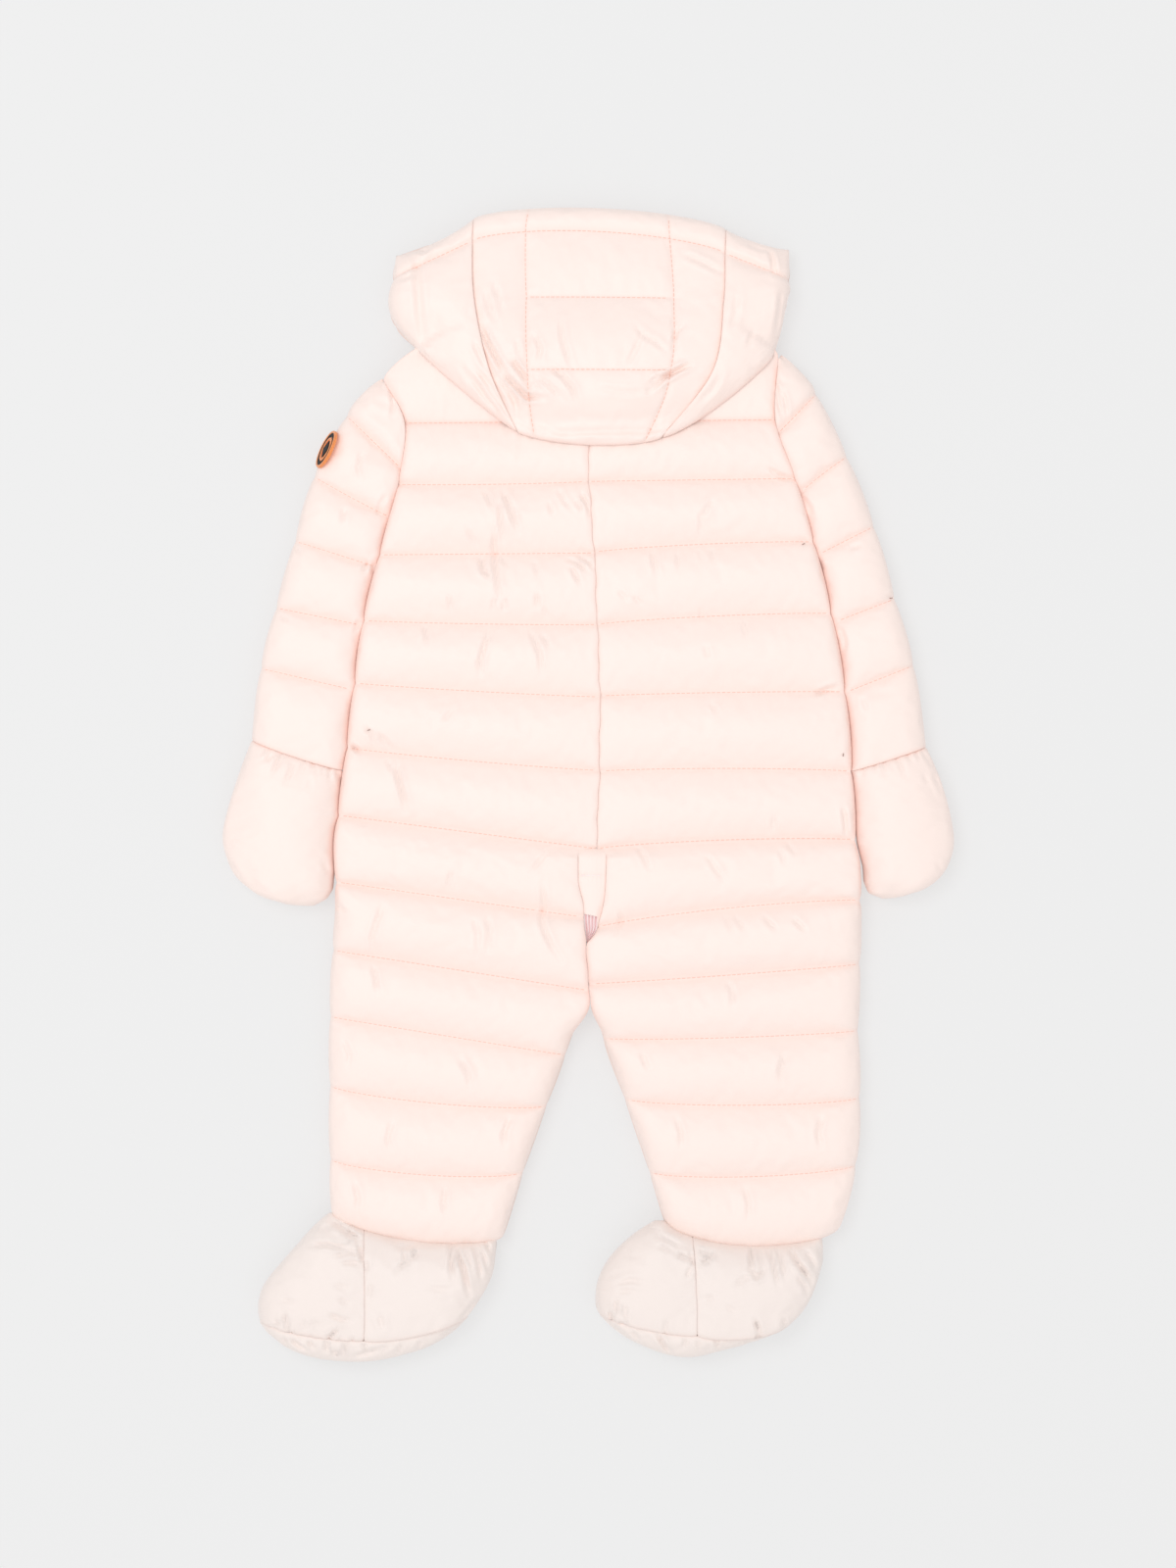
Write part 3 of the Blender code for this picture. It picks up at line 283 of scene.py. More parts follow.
mittenRight = {
    **mittens,
    "piece": "mitten_right_top",
    "node": "mitten_right_upper",
    "rows": rows(
        (232.6, 26.15, 181.0, 9.15, -1, 0.75, 1, 1, 0.3),
        (242.1, 3.7, 183.0, -7.8, 0, 1, 1, 1, 0),
        (248.7, -18.7, 184.0, -25.5, 0, 1, 1, 1, 0),
        (251.8, -39.1, 186.0, -41.8, 0, 1, 1, 1, 0),
        (248.6, -54.1, 190.0, -57.5, 0, 1, 1, 1, 0),
        (241.8, -64.9, 190.5, -67.7, 0, 1, 1, 1, 0),
        (231.5, -72.2, 194.0, -75.8, -1, 1, 1, 1, 0),
        (218.0, -77.3, 203.0, -79.2, -0.7, 1, 1, 1, 0),
    ),
    "seed": 12,
    "creases": [
        (1.2, 1.4, 912, 771, 918, 780, 922, 790), (0.9, 1.4, 892, 778, 892, 786), (1.0, 1.4, 924, 767, 930, 778),
        (1.0, 1.4, 940, 766, 948, 776, 953, 786), (1.2, 1.6, 953, 788, 957, 799, 962, 811),
        (0.8, 1.4, 902, 775, 901, 790), (0.8, 1.4, 880, 782, 879, 794), (1.0, 1.4, 934, 766, 938, 776),
        (0.7, 1.6, 966, 826, 971, 842, 972, 856), (0.7, 1.6, 955, 880, 961, 890, 968, 893),
        (0.6, 1.5, 942, 790, 946, 800), (0.7, 1.4, 870, 786, 868, 799),
    ],
}
hoodCentre = {
    "piece": "hood_centre_quilt",
    "node": "hood_centre",
    "rows": rows(
        (-80.9, 394.1, 94.5, 386.6, 11, 0.4, 0, 0, 0),
        (-81.6, 377.1, 93.8, 368.2, 11, 0.8, 0),
        (-80.2, 336.3, 92.5, 334.9, 1.5, 1, 0),
        (-69.4, 286.0, 84.6, 285.3, 0, 1, 0, 0, 1, 28),
        (-50.3, 244.5, 49.6, 240.4, -7.5, 0.8, 0, 0, 0, 40),
    ),
    "upright": ((0.22, 0.21, 0.21, 0.17, 0.12), (0.77, 0.78, 0.80, 0.81, 0.88)),  # stitch lines, shares of the width
    "uprightDepth": 0.55,  # of their grooves, as a share of the puff
    "leastFlat": 0.25,  # how far the panel is without channels between them; outside them it is wholly so
    "sideFrom": (1.3, 0.3),  # the row where that starts, and over how many rows
    "endFolds": (1, 1),
    "endRolls": (12, 9),
    "slack": -0.035,
    "seed": 21,
    "puff": 3.6,
    "pressure": 4.0,
    # painted shade under the rim
    "endShades": (0, 0.8),
    "grooveReach": 5,
    "loose": ((515, 380, 40, 45, 0.5), (680, 385, 30, 30, 0.4)),
    "creases": [
        (2.0, 1.6, 491, 336, 498, 352, 508, 370, 518, 387), (2.4, 1.6, 512, 383, 524, 394, 538, 407, 557, 409),
        (2.0, 1.6, 522, 370, 533, 384, 541, 393), (1.3, 1.6, 508, 385, 518, 399, 525, 413, 528, 426),
        (1.1, 1.5, 520, 394, 526, 409, 531, 421), (0.9, 1.6, 544, 385, 559, 395, 576, 411),
        (1.1, 1.6, 562, 378, 575, 388, 585, 401, 590, 416), (0.8, 1.6, 572, 328, 574, 350, 580, 369, 585, 381),
        (0.8, 1.5, 545, 344, 552, 359, 549, 373), (0.9, 1.5, 540, 385, 553, 401),
        (2.2, 1.6, 703, 375, 690, 381, 678, 388, 661, 402), (1.4, 1.5, 684, 384, 672, 387, 659, 397),
        (0.7, 1.6, 648, 334, 655, 345, 668, 352, 681, 363), (0.6, 1.6, 640, 376, 650, 355, 655, 341),
        (0.7, 1.6, 495, 298, 500, 320, 509, 337), (0.6, 1.6, 503, 288, 510, 309, 513, 322),
        (0.8, 2.0, 558, 443, 600, 442, 650, 441, 692, 438), (0.9, 1.8, 697, 260, 715, 268, 737, 280),
        (0.6, 1.6, 528, 350, 530, 366), (0.5, 1.8, 610, 400, 640, 404, 664, 402),
        (0.8, 1.5, 686, 352, 690, 341, 698, 334),
    ],
}
hoodLeft = {
    **hoodSides,
    "piece": "hood_left_quilt",
    "node": "hood_left",
    "rows": rows(
        (-133.0, 368.5, -80.9, 394.1, -4, 0.4, 1, 0, 0),
        (-136.0, 351.2, -81.6, 377.1, 0, 0.7),
        (-138.6, 338.0, -80.2, 347.1, 0, 1, 1, 0, 0),
        (-137.4, 328.1, -76.2, 314.5, 0, 1, 1, 0, 0, 17),
        (-132.6, 318.5, -69.4, 287.3, 0, 1, 1, 0, 0, 22),
        (-125.2, 309.5, -59.8, 268.9, 0, 1, 1, 0, 0, 28),
        (-117.0, 300.6, -50.3, 244.5, -3, 0.6, 1, 0, 0, 40),
    ),
    "seed": 22,
    "creases": [
        (1.0, 2.4, 425, 258, 427, 290, 429, 320, 432, 353), (1.1, 1.6, 480, 384, 495, 405, 513, 426),
        (1.0, 1.6, 487, 379, 504, 400, 521, 424), (1.0, 1.5, 495, 395, 510, 414, 526, 433),
        (0.6, 1.8, 470, 374, 480, 391, 491, 403), (1.3, 1.6, 422, 254, 432, 256, 440, 252),
        (0.8, 1.6, 405, 287, 415, 285, 424, 280), (0.8, 1.6, 484, 352, 491, 368, 497, 380),
    ],
}
hoodRight = {
    **hoodSides,
    "piece": "hood_right_quilt",
    "node": "hood_right",
    "rows": rows(
        (136.7, 372.5, 94.5, 386.6, -2.5, 0.4, 1, 0, 0),
        (137.4, 350.5, 93.8, 368.2, 0, 0.7),
        (137.2, 343.5, 93.2, 340.3, 0, 1, 1, 0, 0),
        (134.6, 332.2, 89.8, 314.5, 0, 1, 1, 0, 0, 17),
        (131.5, 316.5, 85.0, 289.3, 0, 1, 1, 0, 0, 22),
        (128.5, 306.3, 74.8, 272.3, 0, 1, 1, 0, 0, 28),
        (125.5, 297.0, 49.6, 240.4, -7, 0.6, 1, 0, 0, 40),
    ),
    "seed": 23,
    "creases": [
        (1.2, 1.8, 797, 298, 795, 320, 791, 346), (1.2, 1.6, 785, 254, 788, 265, 790, 281),
        (0.7, 1.6, 760, 248, 775, 254, 790, 256), (0.6, 2.0, 735, 385, 726, 400, 712, 414),
        (0.6, 1.8, 768, 340, 762, 356), (0.5, 2.0, 752, 300, 750, 320, 746, 338),
    ],
}
# Booties: outer x, y; heel seam x, y; inner x, y; from the hem down to the sole seam
bootieLeft = {
    "rows": (
        (-181.8, -304.6, -157.0, -315.5, -64.8, -318.0),
        (-201.3, -317.9, -156.4, -329.5, -66.0, -328.8),
        (-215.6, -333.5, -155.7, -345.1, -67.5, -339.7),
        (-227.0, -347.8, -155.7, -360.1, -72.0, -350.5),
        (-231.0, -361.4, -155.7, -373.7, -78.0, -360.1),
        (-230.2, -372.3, -156.4, -384.5, -84.0, -368.5),
    ),
    "lastBows": (-3.5, -5.5),
    "sole": (  # seam x, outline x, outline y
        (-229.6, -229.8, -374.6), (-221.0, -222.2, -383.6), (-206.0, -206.7, -394.3), (-184.0, -185.0, -400.2),
        (-156.4, -154.4, -401.5), (-129.0, -127.0, -396.2), (-112.0, -109.0, -389.8), (-97.0, -94.6, -380.3),
        (-86.0, -85.0, -370.8),
    ),
    "creases": {
        "outer": [
            (1.8, 1.6, 337, 1248, 346, 1250, 357, 1257, 367, 1264), (0.9, 1.5, 322, 1252, 340, 1254),
            (1.5, 1.4, 352, 1257, 360, 1260, 369, 1264), (1.4, 1.6, 316, 1269, 335, 1268, 350, 1271, 369, 1274),
            (1.0, 1.5, 354, 1265, 369, 1268), (1.1, 1.5, 343, 1279, 357, 1276, 371, 1277),
            (0.8, 1.5, 350, 1286, 361, 1286, 372, 1289), (1.2, 1.4, 366, 1268, 370, 1278, 372, 1289),
            (0.6, 1.8, 344, 1308, 356, 1312), (0.6, 1.8, 289, 1322, 302, 1328),
            (1.0, 1.6, 337, 1338, 349, 1343, 359, 1346), (0.7, 1.6, 347, 1322, 357, 1328),
            (1.2, 1.5, 291, 1337, 294, 1348, 297, 1359), (1.4, 1.5, 275, 1354, 284, 1355),
            (1.5, 1.5, 290, 1357, 291, 1364), (1.7, 1.5, 296, 1358, 305, 1365),
            (1.5, 1.5, 346, 1354, 338, 1361, 335, 1368), (0.7, 1.6, 358, 1361, 363, 1371),
            (0.8, 1.5, 316, 1361, 320, 1367), (0.6, 1.6, 325, 1350, 317, 1344), (0.6, 1.6, 309, 1345, 315, 1353),
            (0.9, 1.5, 281, 1346, 288, 1350),
        ],
        "inner": [
            (1.0, 1.5, 404, 1272, 420, 1271, 429, 1270), (1.1, 1.5, 413, 1275, 415, 1285, 405, 1295),
            (1.2, 1.5, 426, 1275, 418, 1285), (1.9, 1.5, 459, 1266, 461, 1280, 462, 1301),
            (2.1, 1.6, 463, 1266, 467, 1278, 473, 1290, 476, 1305, 479, 1320),
            (1.6, 1.5, 483, 1267, 487, 1280, 490, 1295, 491, 1305), (1.6, 1.5, 487, 1266, 493, 1280, 497, 1294),
            (1.6, 1.5, 493, 1266, 500, 1277), (0.8, 1.5, 473, 1274, 482, 1291),
            (1.0, 1.6, 507, 1302, 502, 1315, 494, 1327), (0.5, 1.8, 440, 1312, 461, 1313),
            (1.5, 1.5, 444, 1361, 453, 1363), (0.8, 1.6, 469, 1346, 480, 1335, 489, 1324),
            (0.8, 1.5, 375, 1285, 374, 1296), (0.7, 1.5, 380, 1308, 377, 1322), (0.6, 1.8, 388, 1340, 392, 1352),
        ],
        "sole": [
            (1.2, 1.5, 298, 1365, 306, 1372, 315, 1377), (1.2, 1.5, 335, 1366, 333, 1378),
            (1.3, 1.5, 342, 1376, 343, 1383), (1.1, 1.5, 355, 1367, 351, 1377, 353, 1385),
            (0.9, 1.6, 361, 1383, 380, 1378, 393, 1371), (0.8, 1.5, 430, 1367, 425, 1379),
            (0.8, 1.5, 396, 1371, 388, 1381), (0.9, 1.5, 316, 1366, 321, 1376), (0.9, 1.5, 290, 1364, 294, 1372),
            (0.8, 1.5, 452, 1362, 460, 1358), (0.7, 1.5, 410, 1370, 406, 1380), (0.9, 1.4, 372, 1368, 374, 1379),
        ],
    },
    "seed": 31,
}
bootieRight = {
    "rows": (
        (161.4, -321.5, 71.0, -322.5, 45.0, -304.5),
        (162.2, -331.5, 72.8, -337.0, 28.0, -315.0),
        (159.2, -343.1, 73.4, -349.2, 13.5, -329.5),
        (155.0, -355.3, 74.1, -361.4, 6.0, -343.7),
        (147.6, -366.9, 74.1, -372.3, 3.8, -356.0),
        (138.0, -375.7, 74.1, -381.1, 5.3, -366.9),
    ),
    "lastBows": (-5.5, -3.5),
    "sole": (
        (7.2, 6.8, -369.2), (17.5, 15.8, -378.2), (32.0, 29.2, -387.3), (52.0, 51.0, -396.1), (72.0, 70.0, -398.8),
        (91.0, 90.0, -394.6), (109.0, 110.5, -388.9), (126.0, 128.5, -382.5), (136.6, 137.4, -377.8),
    ),
    "creases": {
        "outer": [
            (1.4, 1.5, 728, 1277, 722, 1283, 713, 1288), (1.1, 1.5, 713, 1275, 727, 1277),
            (1.8, 1.5, 767, 1273, 766, 1285, 765, 1293), (1.3, 1.5, 765, 1292, 771, 1301, 777, 1296, 780, 1289),
            (0.7, 1.7, 749, 1309, 758, 1302, 769, 1298), (1.2, 1.5, 783, 1273, 788, 1285, 791, 1299, 793, 1310),
            (1.1, 1.5, 793, 1274, 797, 1289, 799, 1303), (2.0, 1.6, 805, 1272, 812, 1285, 820, 1296, 827, 1306),
            (0.8, 1.5, 812, 1300, 820, 1310, 824, 1321), (1.1, 1.5, 821, 1274, 829, 1287, 834, 1297),
            (1.0, 1.5, 835, 1272, 840, 1286), (0.9, 1.5, 838, 1291, 836, 1309, 830, 1324, 823, 1336),
            (1.3, 1.5, 769, 1344, 774, 1355, 777, 1362), (1.2, 1.5, 770, 1360, 777, 1362),
            (0.8, 1.5, 798, 1344, 801, 1356), (0.6, 1.6, 719, 1322, 729, 1321), (0.6, 1.5, 775, 1276, 777, 1290),
            (0.5, 1.8, 740, 1330, 750, 1336),
        ],
        "inner": [
            (1.4, 1.5, 690, 1278, 700, 1281, 707, 1285), (1.2, 1.4, 703, 1276, 706, 1283, 709, 1290),
            (0.7, 1.5, 700, 1301, 705, 1289), (1.1, 1.5, 664, 1258, 680, 1263, 697, 1271),
            (1.2, 1.5, 659, 1252, 676, 1257), (0.7, 1.8, 629, 1308, 645, 1304, 657, 1306),
            (0.7, 1.7, 631, 1315, 646, 1314), (1.8, 1.5, 622, 1336, 625, 1345, 627, 1351),
            (1.9, 1.5, 632, 1348, 640, 1352), (1.1, 1.5, 628, 1324, 630, 1341), (0.9, 1.5, 644, 1354, 651, 1360),
            (0.7, 1.5, 636, 1329, 640, 1346), (0.7, 1.5, 680, 1344, 678, 1361), (0.8, 1.5, 672, 1270, 690, 1274),
        ],
        "sole": [
            (1.5, 1.5, 671, 1360, 675, 1367, 680, 1375, 685, 1381), (1.1, 1.5, 730, 1363, 733, 1376),
            (0.8, 1.5, 700, 1364, 697, 1375), (0.9, 1.5, 645, 1357, 652, 1367), (0.8, 1.5, 760, 1366, 766, 1373),
            (1.1, 1.5, 627, 1352, 634, 1360), (0.7, 1.5, 712, 1366, 714, 1378),
        ],
    },
    "seed": 32,
}
clothSettings = {
    "cell": 2.5,  # of the grid that is inflated
    "stitchTop": 22.0,  # height of the back's quilting lines
    "puff": 8.6,  # rise of a channel before it is inflated
    "roll": 17.0,  # how far in from a folded edge the cloth has its full height
    "seamDip": (4.5, 0.9),  # how far in a sewn edge draws the padding down, and the share of its rise left there
    "seamDrop": 0.35,  # how far a sewn edge turns down into its seam
    "seamTurn": 3.5,  # how far in it does so
    "crease": 2.2,  # deepens every crease
    "edge": 1.4,  # height of an outer edge above the seam between the layers
    "rough": 0.35,  # unevenness that starts the puckers
    "spare": (0.4, 34),  # usual share of spare cloth, which varies by as much, and the size of its patches
    "slackRange": (0.2, 2),  # times a panel's slack, for the least and the most spare cloth
    "quality": 5,
    "mass": 0.3,
    "pressure": 6.5,
    "bending": 0.15,
    "frames": 14,
    "cap": 7.0,  # the most that the padding may move a point
    "scallop": 1.8,  # how far a channel swells out past its quilting lines
    "thin": 1.2,  # a panel with a shaped inside is never thinner
}
creaseForm = {  # a crease's shape beside its own depth and half width
    "ends": (0.2, 0.2, 0.35),  # share of its depth that its ends keep, and how long its first and last end are
    "ridge": (0.4, 2.1),  # height and place of the ridge beside it
}
# its last two: painted shade along the underside's quilting lines, and how far that reaches
lining = {"cell": 3.6, "roll": 11, "edge": 1.4, "groove": 2.6, "pucker": 0.9, "shadeShare": 0.35, "shadeReach": 3.5}
layerGap = 0.15  # from the seam's height to each layer
beyond = 1e3  # farther than anything here


# ---- small sums ----
def quarterRound(share):
    share = np.clip(share, 0, 1)
    return np.sqrt(1 - (1 - share) ** 2)


def ease(share):
    share = np.clip(share, 0, 1)
    return share * share * (3 - 2 * share)


def arch(u):
    return np.clip(4 * u * (1 - u), 0, 1) ** 0.7


def mix(a, b, share):
    return a + (b - a) * share


def fromPicture(px, py):
    # a place on the picture, in the cutting tables' mm
    return (px - picture["middle"][0]) * picture["unit"], (picture["middle"][1] - py) * picture["unit"]


def acrossRows(column, count):
    # a value of each row, at all the points of the row
    return np.repeat(column[:, None], count, 1)


def onLine(at, places, values):
    # a line's value at some places, whichever way its points run
    order = np.argsort(places)
    return np.interp(at, places[order], values[order])


def crowded(count, share):
    # even steps from 0 towards 1, drawn together at both ends
    t = np.arange(count) / count
    return mix(t, 0.5 - 0.5 * np.cos(math.pi * t), share)


def alongCurve(values, places):
    # a smooth curve through the values of a table's column
    values = np.asarray(values, float)
    last = len(values) - 1
    i = np.clip(places.astype(int), 0, last - 1)
    t = places - i
    a, b, c, d = values[np.maximum(i - 1, 0)], values[i], values[i + 1], values[np.minimum(i + 2, last)]
    slopeB = np.where(i > 0, (c - a) / 2, c - b)
    slopeC = np.where(i + 2 <= last, (d - b) / 2, c - b)
    return (
        (2 * t**3 - 3 * t**2 + 1) * b + (t**3 - 2 * t**2 + t) * slopeB
        + (3 * t**2 - 2 * t**3) * c + (t**3 - t**2) * slopeC
    )


def wobble(x, y, size, seed):
    # soft noise from -1 to 1 over places in mm
    flat = [noise.noise(Vector((a / size, b / size, seed * 7.3))) for a, b in zip(np.ravel(x), np.ravel(y))]
    return np.array(flat).reshape(np.shape(x)) * 1.6


def selectOnly(*objs):
    bpy.ops.object.select_all(action="DESELECT")
    for obj in objs:
        obj.select_set(True)
    bpy.context.view_layer.objects.active = objs[0]


def getPoints(piece):
    flat = np.zeros(len(piece.data.vertices) * 3)
    piece.data.vertices.foreach_get("co", flat)
    return flat.reshape(-1, 3)


def setPoints(piece, points):
    piece.data.vertices.foreach_set("co", np.ravel(points))
    piece.data.update()


def chosenPoints(piece):
    chosen = np.zeros(len(piece.data.vertices), bool)
    piece.data.vertices.foreach_get("select", chosen)
    return chosen


def edit(step, **settings):
    # one modelling step on the whole of the active mesh
    bpy.ops.object.mode_set(mode="EDIT")
    bpy.ops.mesh.select_all(action="SELECT")
    step(**settings)
    bpy.ops.object.mode_set(mode="OBJECT")


# ---- laying out a panel ----
def layOut(look, innerLine=None):
    # places of the fine grid: rows run down the panel and columns from its outer to its inner edge
    table = look["rows"]
    cell = look.get("cell", clothSettings["cell"])
    scallop = look.get("scallop", clothSettings["scallop"])
    places = []
    for i in range(len(table) - 1):
        sideways = np.hypot(*(table[i + 1, [0, 2]] - table[i, [0, 2]])) * 0.2
        count = max(3, round((sideways + abs(table[i + 1, [1, 3]] - table[i, [1, 3]]).mean()) / cell))
        places.append(i + crowded(count, 0.3 * table[i, 8]))
    places = np.append(np.concatenate(places), len(table) - 1)
    i = np.clip(places.astype(int), 0, len(table) - 2)
    t = places - i
    column = {}
    for k, name in enumerate(("ox", "oy", "ix", "iy", "bow", "loft", "outerFold", "innerFold", "sewn", "edge")):
        column[name] = alongCurve(table[:, k], places) if k < 4 else mix(table[i, k], table[i + 1, k], t)
    sewnA, sewnB = table[i, 8], table[i + 1, 8]
    puff = 1 - sewnA * (1 - quarterRound(2 * t)) - sewnB * (1 - quarterRound(2 * (1 - t)))
    away = np.sign(column["ox"] - column["ix"])
    ox = column["ox"] + away * scallop * puff * column["outerFold"]
    ix = column["ix"] - away * 0.5 * scallop * puff * column["innerFold"]
    if innerLine is not None:
        ix = innerLine(column["iy"])
    width = np.hypot(ix - ox, column["iy"] - column["oy"])
    # columns gather a little at the edges, and at the upright stitch lines where there are any
    breaks = [np.zeros(len(places))] + [np.interp(places, range(len(table)), s) for s in look.get("upright", ())]
    breaks.append(np.ones(len(places)))
    shares, upright = [], []
    for k in range(len(breaks) - 1):
        count = max(3, round((width * (breaks[k + 1] - breaks[k])).mean() / cell))
        shares += [mix(breaks[k], breaks[k + 1], s) for s in crowded(count, 0.4)]
        upright += [k > 0] + [False] * (count - 1)
    u = np.array(shares + [breaks[-1]]).T
    x = mix(ox[:, None], ix[:, None], u)
    y = mix(column["oy"][:, None], column["iy"][:, None], u) + column["bow"][:, None] * arch(u)
    onRow = np.isclose(t, 0) & (table[i, 8] == 1) | (places == len(table) - 1) & (table[-1, 8] == 1)
    lay = layFrom(x, y, u, width, places, np.array(upright + [False]), onRow)
    lay["puff"] = acrossRows(puff, u.shape[1])
    for name in ("loft", "outerFold", "innerFold", "edge"):
        lay[name] = acrossRows(column[name], u.shape[1])
    return lay


def layFrom(x, y, u, width, places, upright, onRow):
    return {
        "x": x, "y": y, "u": u, "places": places, "upright": upright, "onRow": onRow,
        "fromOuter": u * width[:, None], "fromInner": (1 - u) * width[:, None],
        "fromFirst": np.hypot(x - x[0], y - y[0]), "fromLast": np.hypot(x - x[-1], y - y[-1]),
    }


def layRound(look, columns=11):
    # a strip that runs round a bootie, whose rows are already close together
    table = look["rows"]
    u = np.repeat(np.linspace(0, 1, columns)[None, :], len(table), 0)
    x, y = mix(table[:, [0]], table[:, [2]], u), mix(table[:, [1]], table[:, [3]], u)
    width = np.hypot(table[:, 2] - table[:, 0], table[:, 3] - table[:, 1])
    places, none = np.arange(len(table), dtype=float), np.zeros(len(table), bool)
    lay = layFrom(x, y, u, width, places, np.zeros(columns, bool), none)
    same = np.ones(x.shape)
    lay.update(puff=same, loft=same, outerFold=same, innerFold=same * 0, edge=same * seamHeight)
    return lay


def atHeight(pairs, y):
    # between the values that pairs give for certain y
    return np.interp(y, *zip(*sorted(pairs)))


def lookAtHeight(look, name, y, usual=0):
    return atHeight(look.get(name, ((0, usual),)), y)


def foldsOf(lay, look, roll, endFolds):
    # for the outer, inner, first and last edge: how far in a point is, in rolls, and how far the edge is a fold
    rolls = look.get("endRolls", (roll, roll))
    outerRoll = lookAtHeight(look, "outerRoll", lay["y"], roll)
    innerRoll = lookAtHeight(look, "innerRoll", lay["y"], roll)
    return (
        (lay["fromOuter"] / outerRoll, lay["outerFold"]), (lay["fromInner"] / innerRoll, lay["innerFold"]),
        (lay["fromFirst"] / rolls[0], endFolds[0]), (lay["fromLast"] / rolls[1], endFolds[1]),
    )


def upperHeights(lay, look, top=None):
    s = clothSettings
    folds = foldsOf(lay, look, look.get("roll", s["roll"]), look["endFolds"])
    powers = (1, look.get("innerPower", 1), 1, 1)
    full = np.prod([mix(1, quarterRound(d) ** power, w) for (d, w), power in zip(folds, powers)], axis=0)
    sides = (
        (lay["fromOuter"], lay["outerFold"], s["seamDip"]),
        (lay["fromInner"], lay["innerFold"], look.get("innerDip", s["seamDip"])),
    )
    dips = [mix(mix(share, 1, 1 - (1 - np.clip(d / reach, 0, 1)) ** 2), 1, w) for d, w, (reach, share) in sides]
    turns = [(1 - quarterRound(d / s["seamTurn"])) * (1 - w) for d, w, _ in sides]
    drop = look.get("drop", s["seamDrop"]) * sum(turns)
    outerRise, innerRise = (lookAtHeight(look, name, lay["y"]) for name in ("outerRise", "innerRise"))
    start = lay["edge"] + layerGap + mix(outerRise, innerRise, ease(lay["u"] * 2 - 0.5)) + s["edge"]
    high = top(lay["x"], lay["y"]) if top else s["stitchTop"]
    rise = look.get("puff", s["puff"]) * lay["loft"] * lay["puff"] * np.prod(dips, axis=0)
    return start + (high + rise - drop - start) * full


def lowerHeights(lay, look):
    # the underside rests flat, and only its sewn lines are drawn up a little
    folds = foldsOf(lay, look, lining["roll"], look["lowerFolds"])
    full = np.prod([mix(1, quarterRound(d), w) for d, w in folds], axis=0)
    drawn = look.get("groove", lining["groove"]) * (1 - lay["puff"]) ** 1.6
    pucker = lining["pucker"] * np.clip(wobble(lay["x"], lay["y"] * 0.35, 6, 4), 0, 1) * (1 - lay["puff"])
    return np.maximum((seamHeight - layerGap - lining["edge"]) * (1 - full), (drawn + pucker) * full)


def layGrid(name, lay, heights, facesUp=True):
    rowCount, columnCount = heights.shape
    bpy.ops.object.select_all(action="DESELECT")
    bpy.ops.mesh.primitive_grid_add(x_subdivisions=columnCount - 1, y_subdivisions=rowCount - 1, size=1)
    piece = bpy.context.object
    piece.name = piece.data.name = name
    grid = getPoints(piece)
    k = np.rint((grid[:, 0] + 0.5) * (columnCount - 1)).astype(int)
    r = np.rint((0.5 - grid[:, 1]) * (rowCount - 1)).astype(int)
    points = np.stack([lay["x"][r, k] + suitShift[0], lay["y"][r, k] + suitShift[1], heights[r, k]], 1) * mm
    setPoints(piece, points)
    # painted shade, kept on the mesh for the finish to blend in
    press = piece.data.attributes.new("press", "FLOAT", "POINT")
    press.data.foreach_set("value", np.ascontiguousarray(lay["press"][r, k], dtype=np.float32))
    piece.data.update()
    up = sum(p.normal.z for p in piece.data.polygons) > 0
    if up != facesUp:
        selectOnly(piece)
        edit(bpy.ops.mesh.flip_normals)
    return piece, r, k


def inflate(piece, held, slack, look):
    # the padding swells the cloth between its sewn lines, and the spare cloth puckers
    s = clothSettings
    start = getPoints(piece)
    sewn = piece.vertex_groups.new(name="sewn")
    sewn.add([int(i) for i in np.nonzero(held)[0]], 1, "REPLACE")
    spare = piece.vertex_groups.new(name="spare")
    for i, weight in enumerate(slack):
        spare.add([i], float(weight), "REPLACE")
    cloth = piece.modifiers.new("padding", "CLOTH")
    cloth.settings.quality = s["quality"]
    cloth.settings.mass = s["mass"]
    cloth.settings.bending_stiffness = s["bending"]
    cloth.settings.use_pressure = True
    cloth.settings.uniform_pressure_force = look.get("pressure", s["pressure"])
    cloth.settings.shrink_min, cloth.settings.shrink_max = (look["slack"] * times for times in s["slackRange"])
    cloth.settings.vertex_group_shrink = "spare"
    cloth.settings.vertex_group_mass = "sewn"
    cloth.settings.effector_weights.gravity = 0
    cloth.collision_settings.use_collision = False
    for f in range(1, s["frames"] + 1):
        bpy.context.scene.frame_set(f)
    selectOnly(piece)
    bpy.ops.object.modifier_apply(modifier="padding")
    bpy.context.scene.frame_set(1)
    moved = getPoints(piece) - start
    far = np.linalg.norm(moved, axis=1, keepdims=True)
    setPoints(piece, start + moved * np.minimum(1, s["cap"] * mm / np.maximum(far, 1e-9)))
    piece.vertex_groups.clear()


def smooth(piece):
    selectOnly(piece)
    bpy.ops.object.modifier_add(type="SUBSURF")
    finer = piece.modifiers[-1]
    finer.levels = finer.render_levels = 1
    bpy.ops.object.modifier_apply(modifier=finer.name)
    bpy.ops.object.shade_smooth()


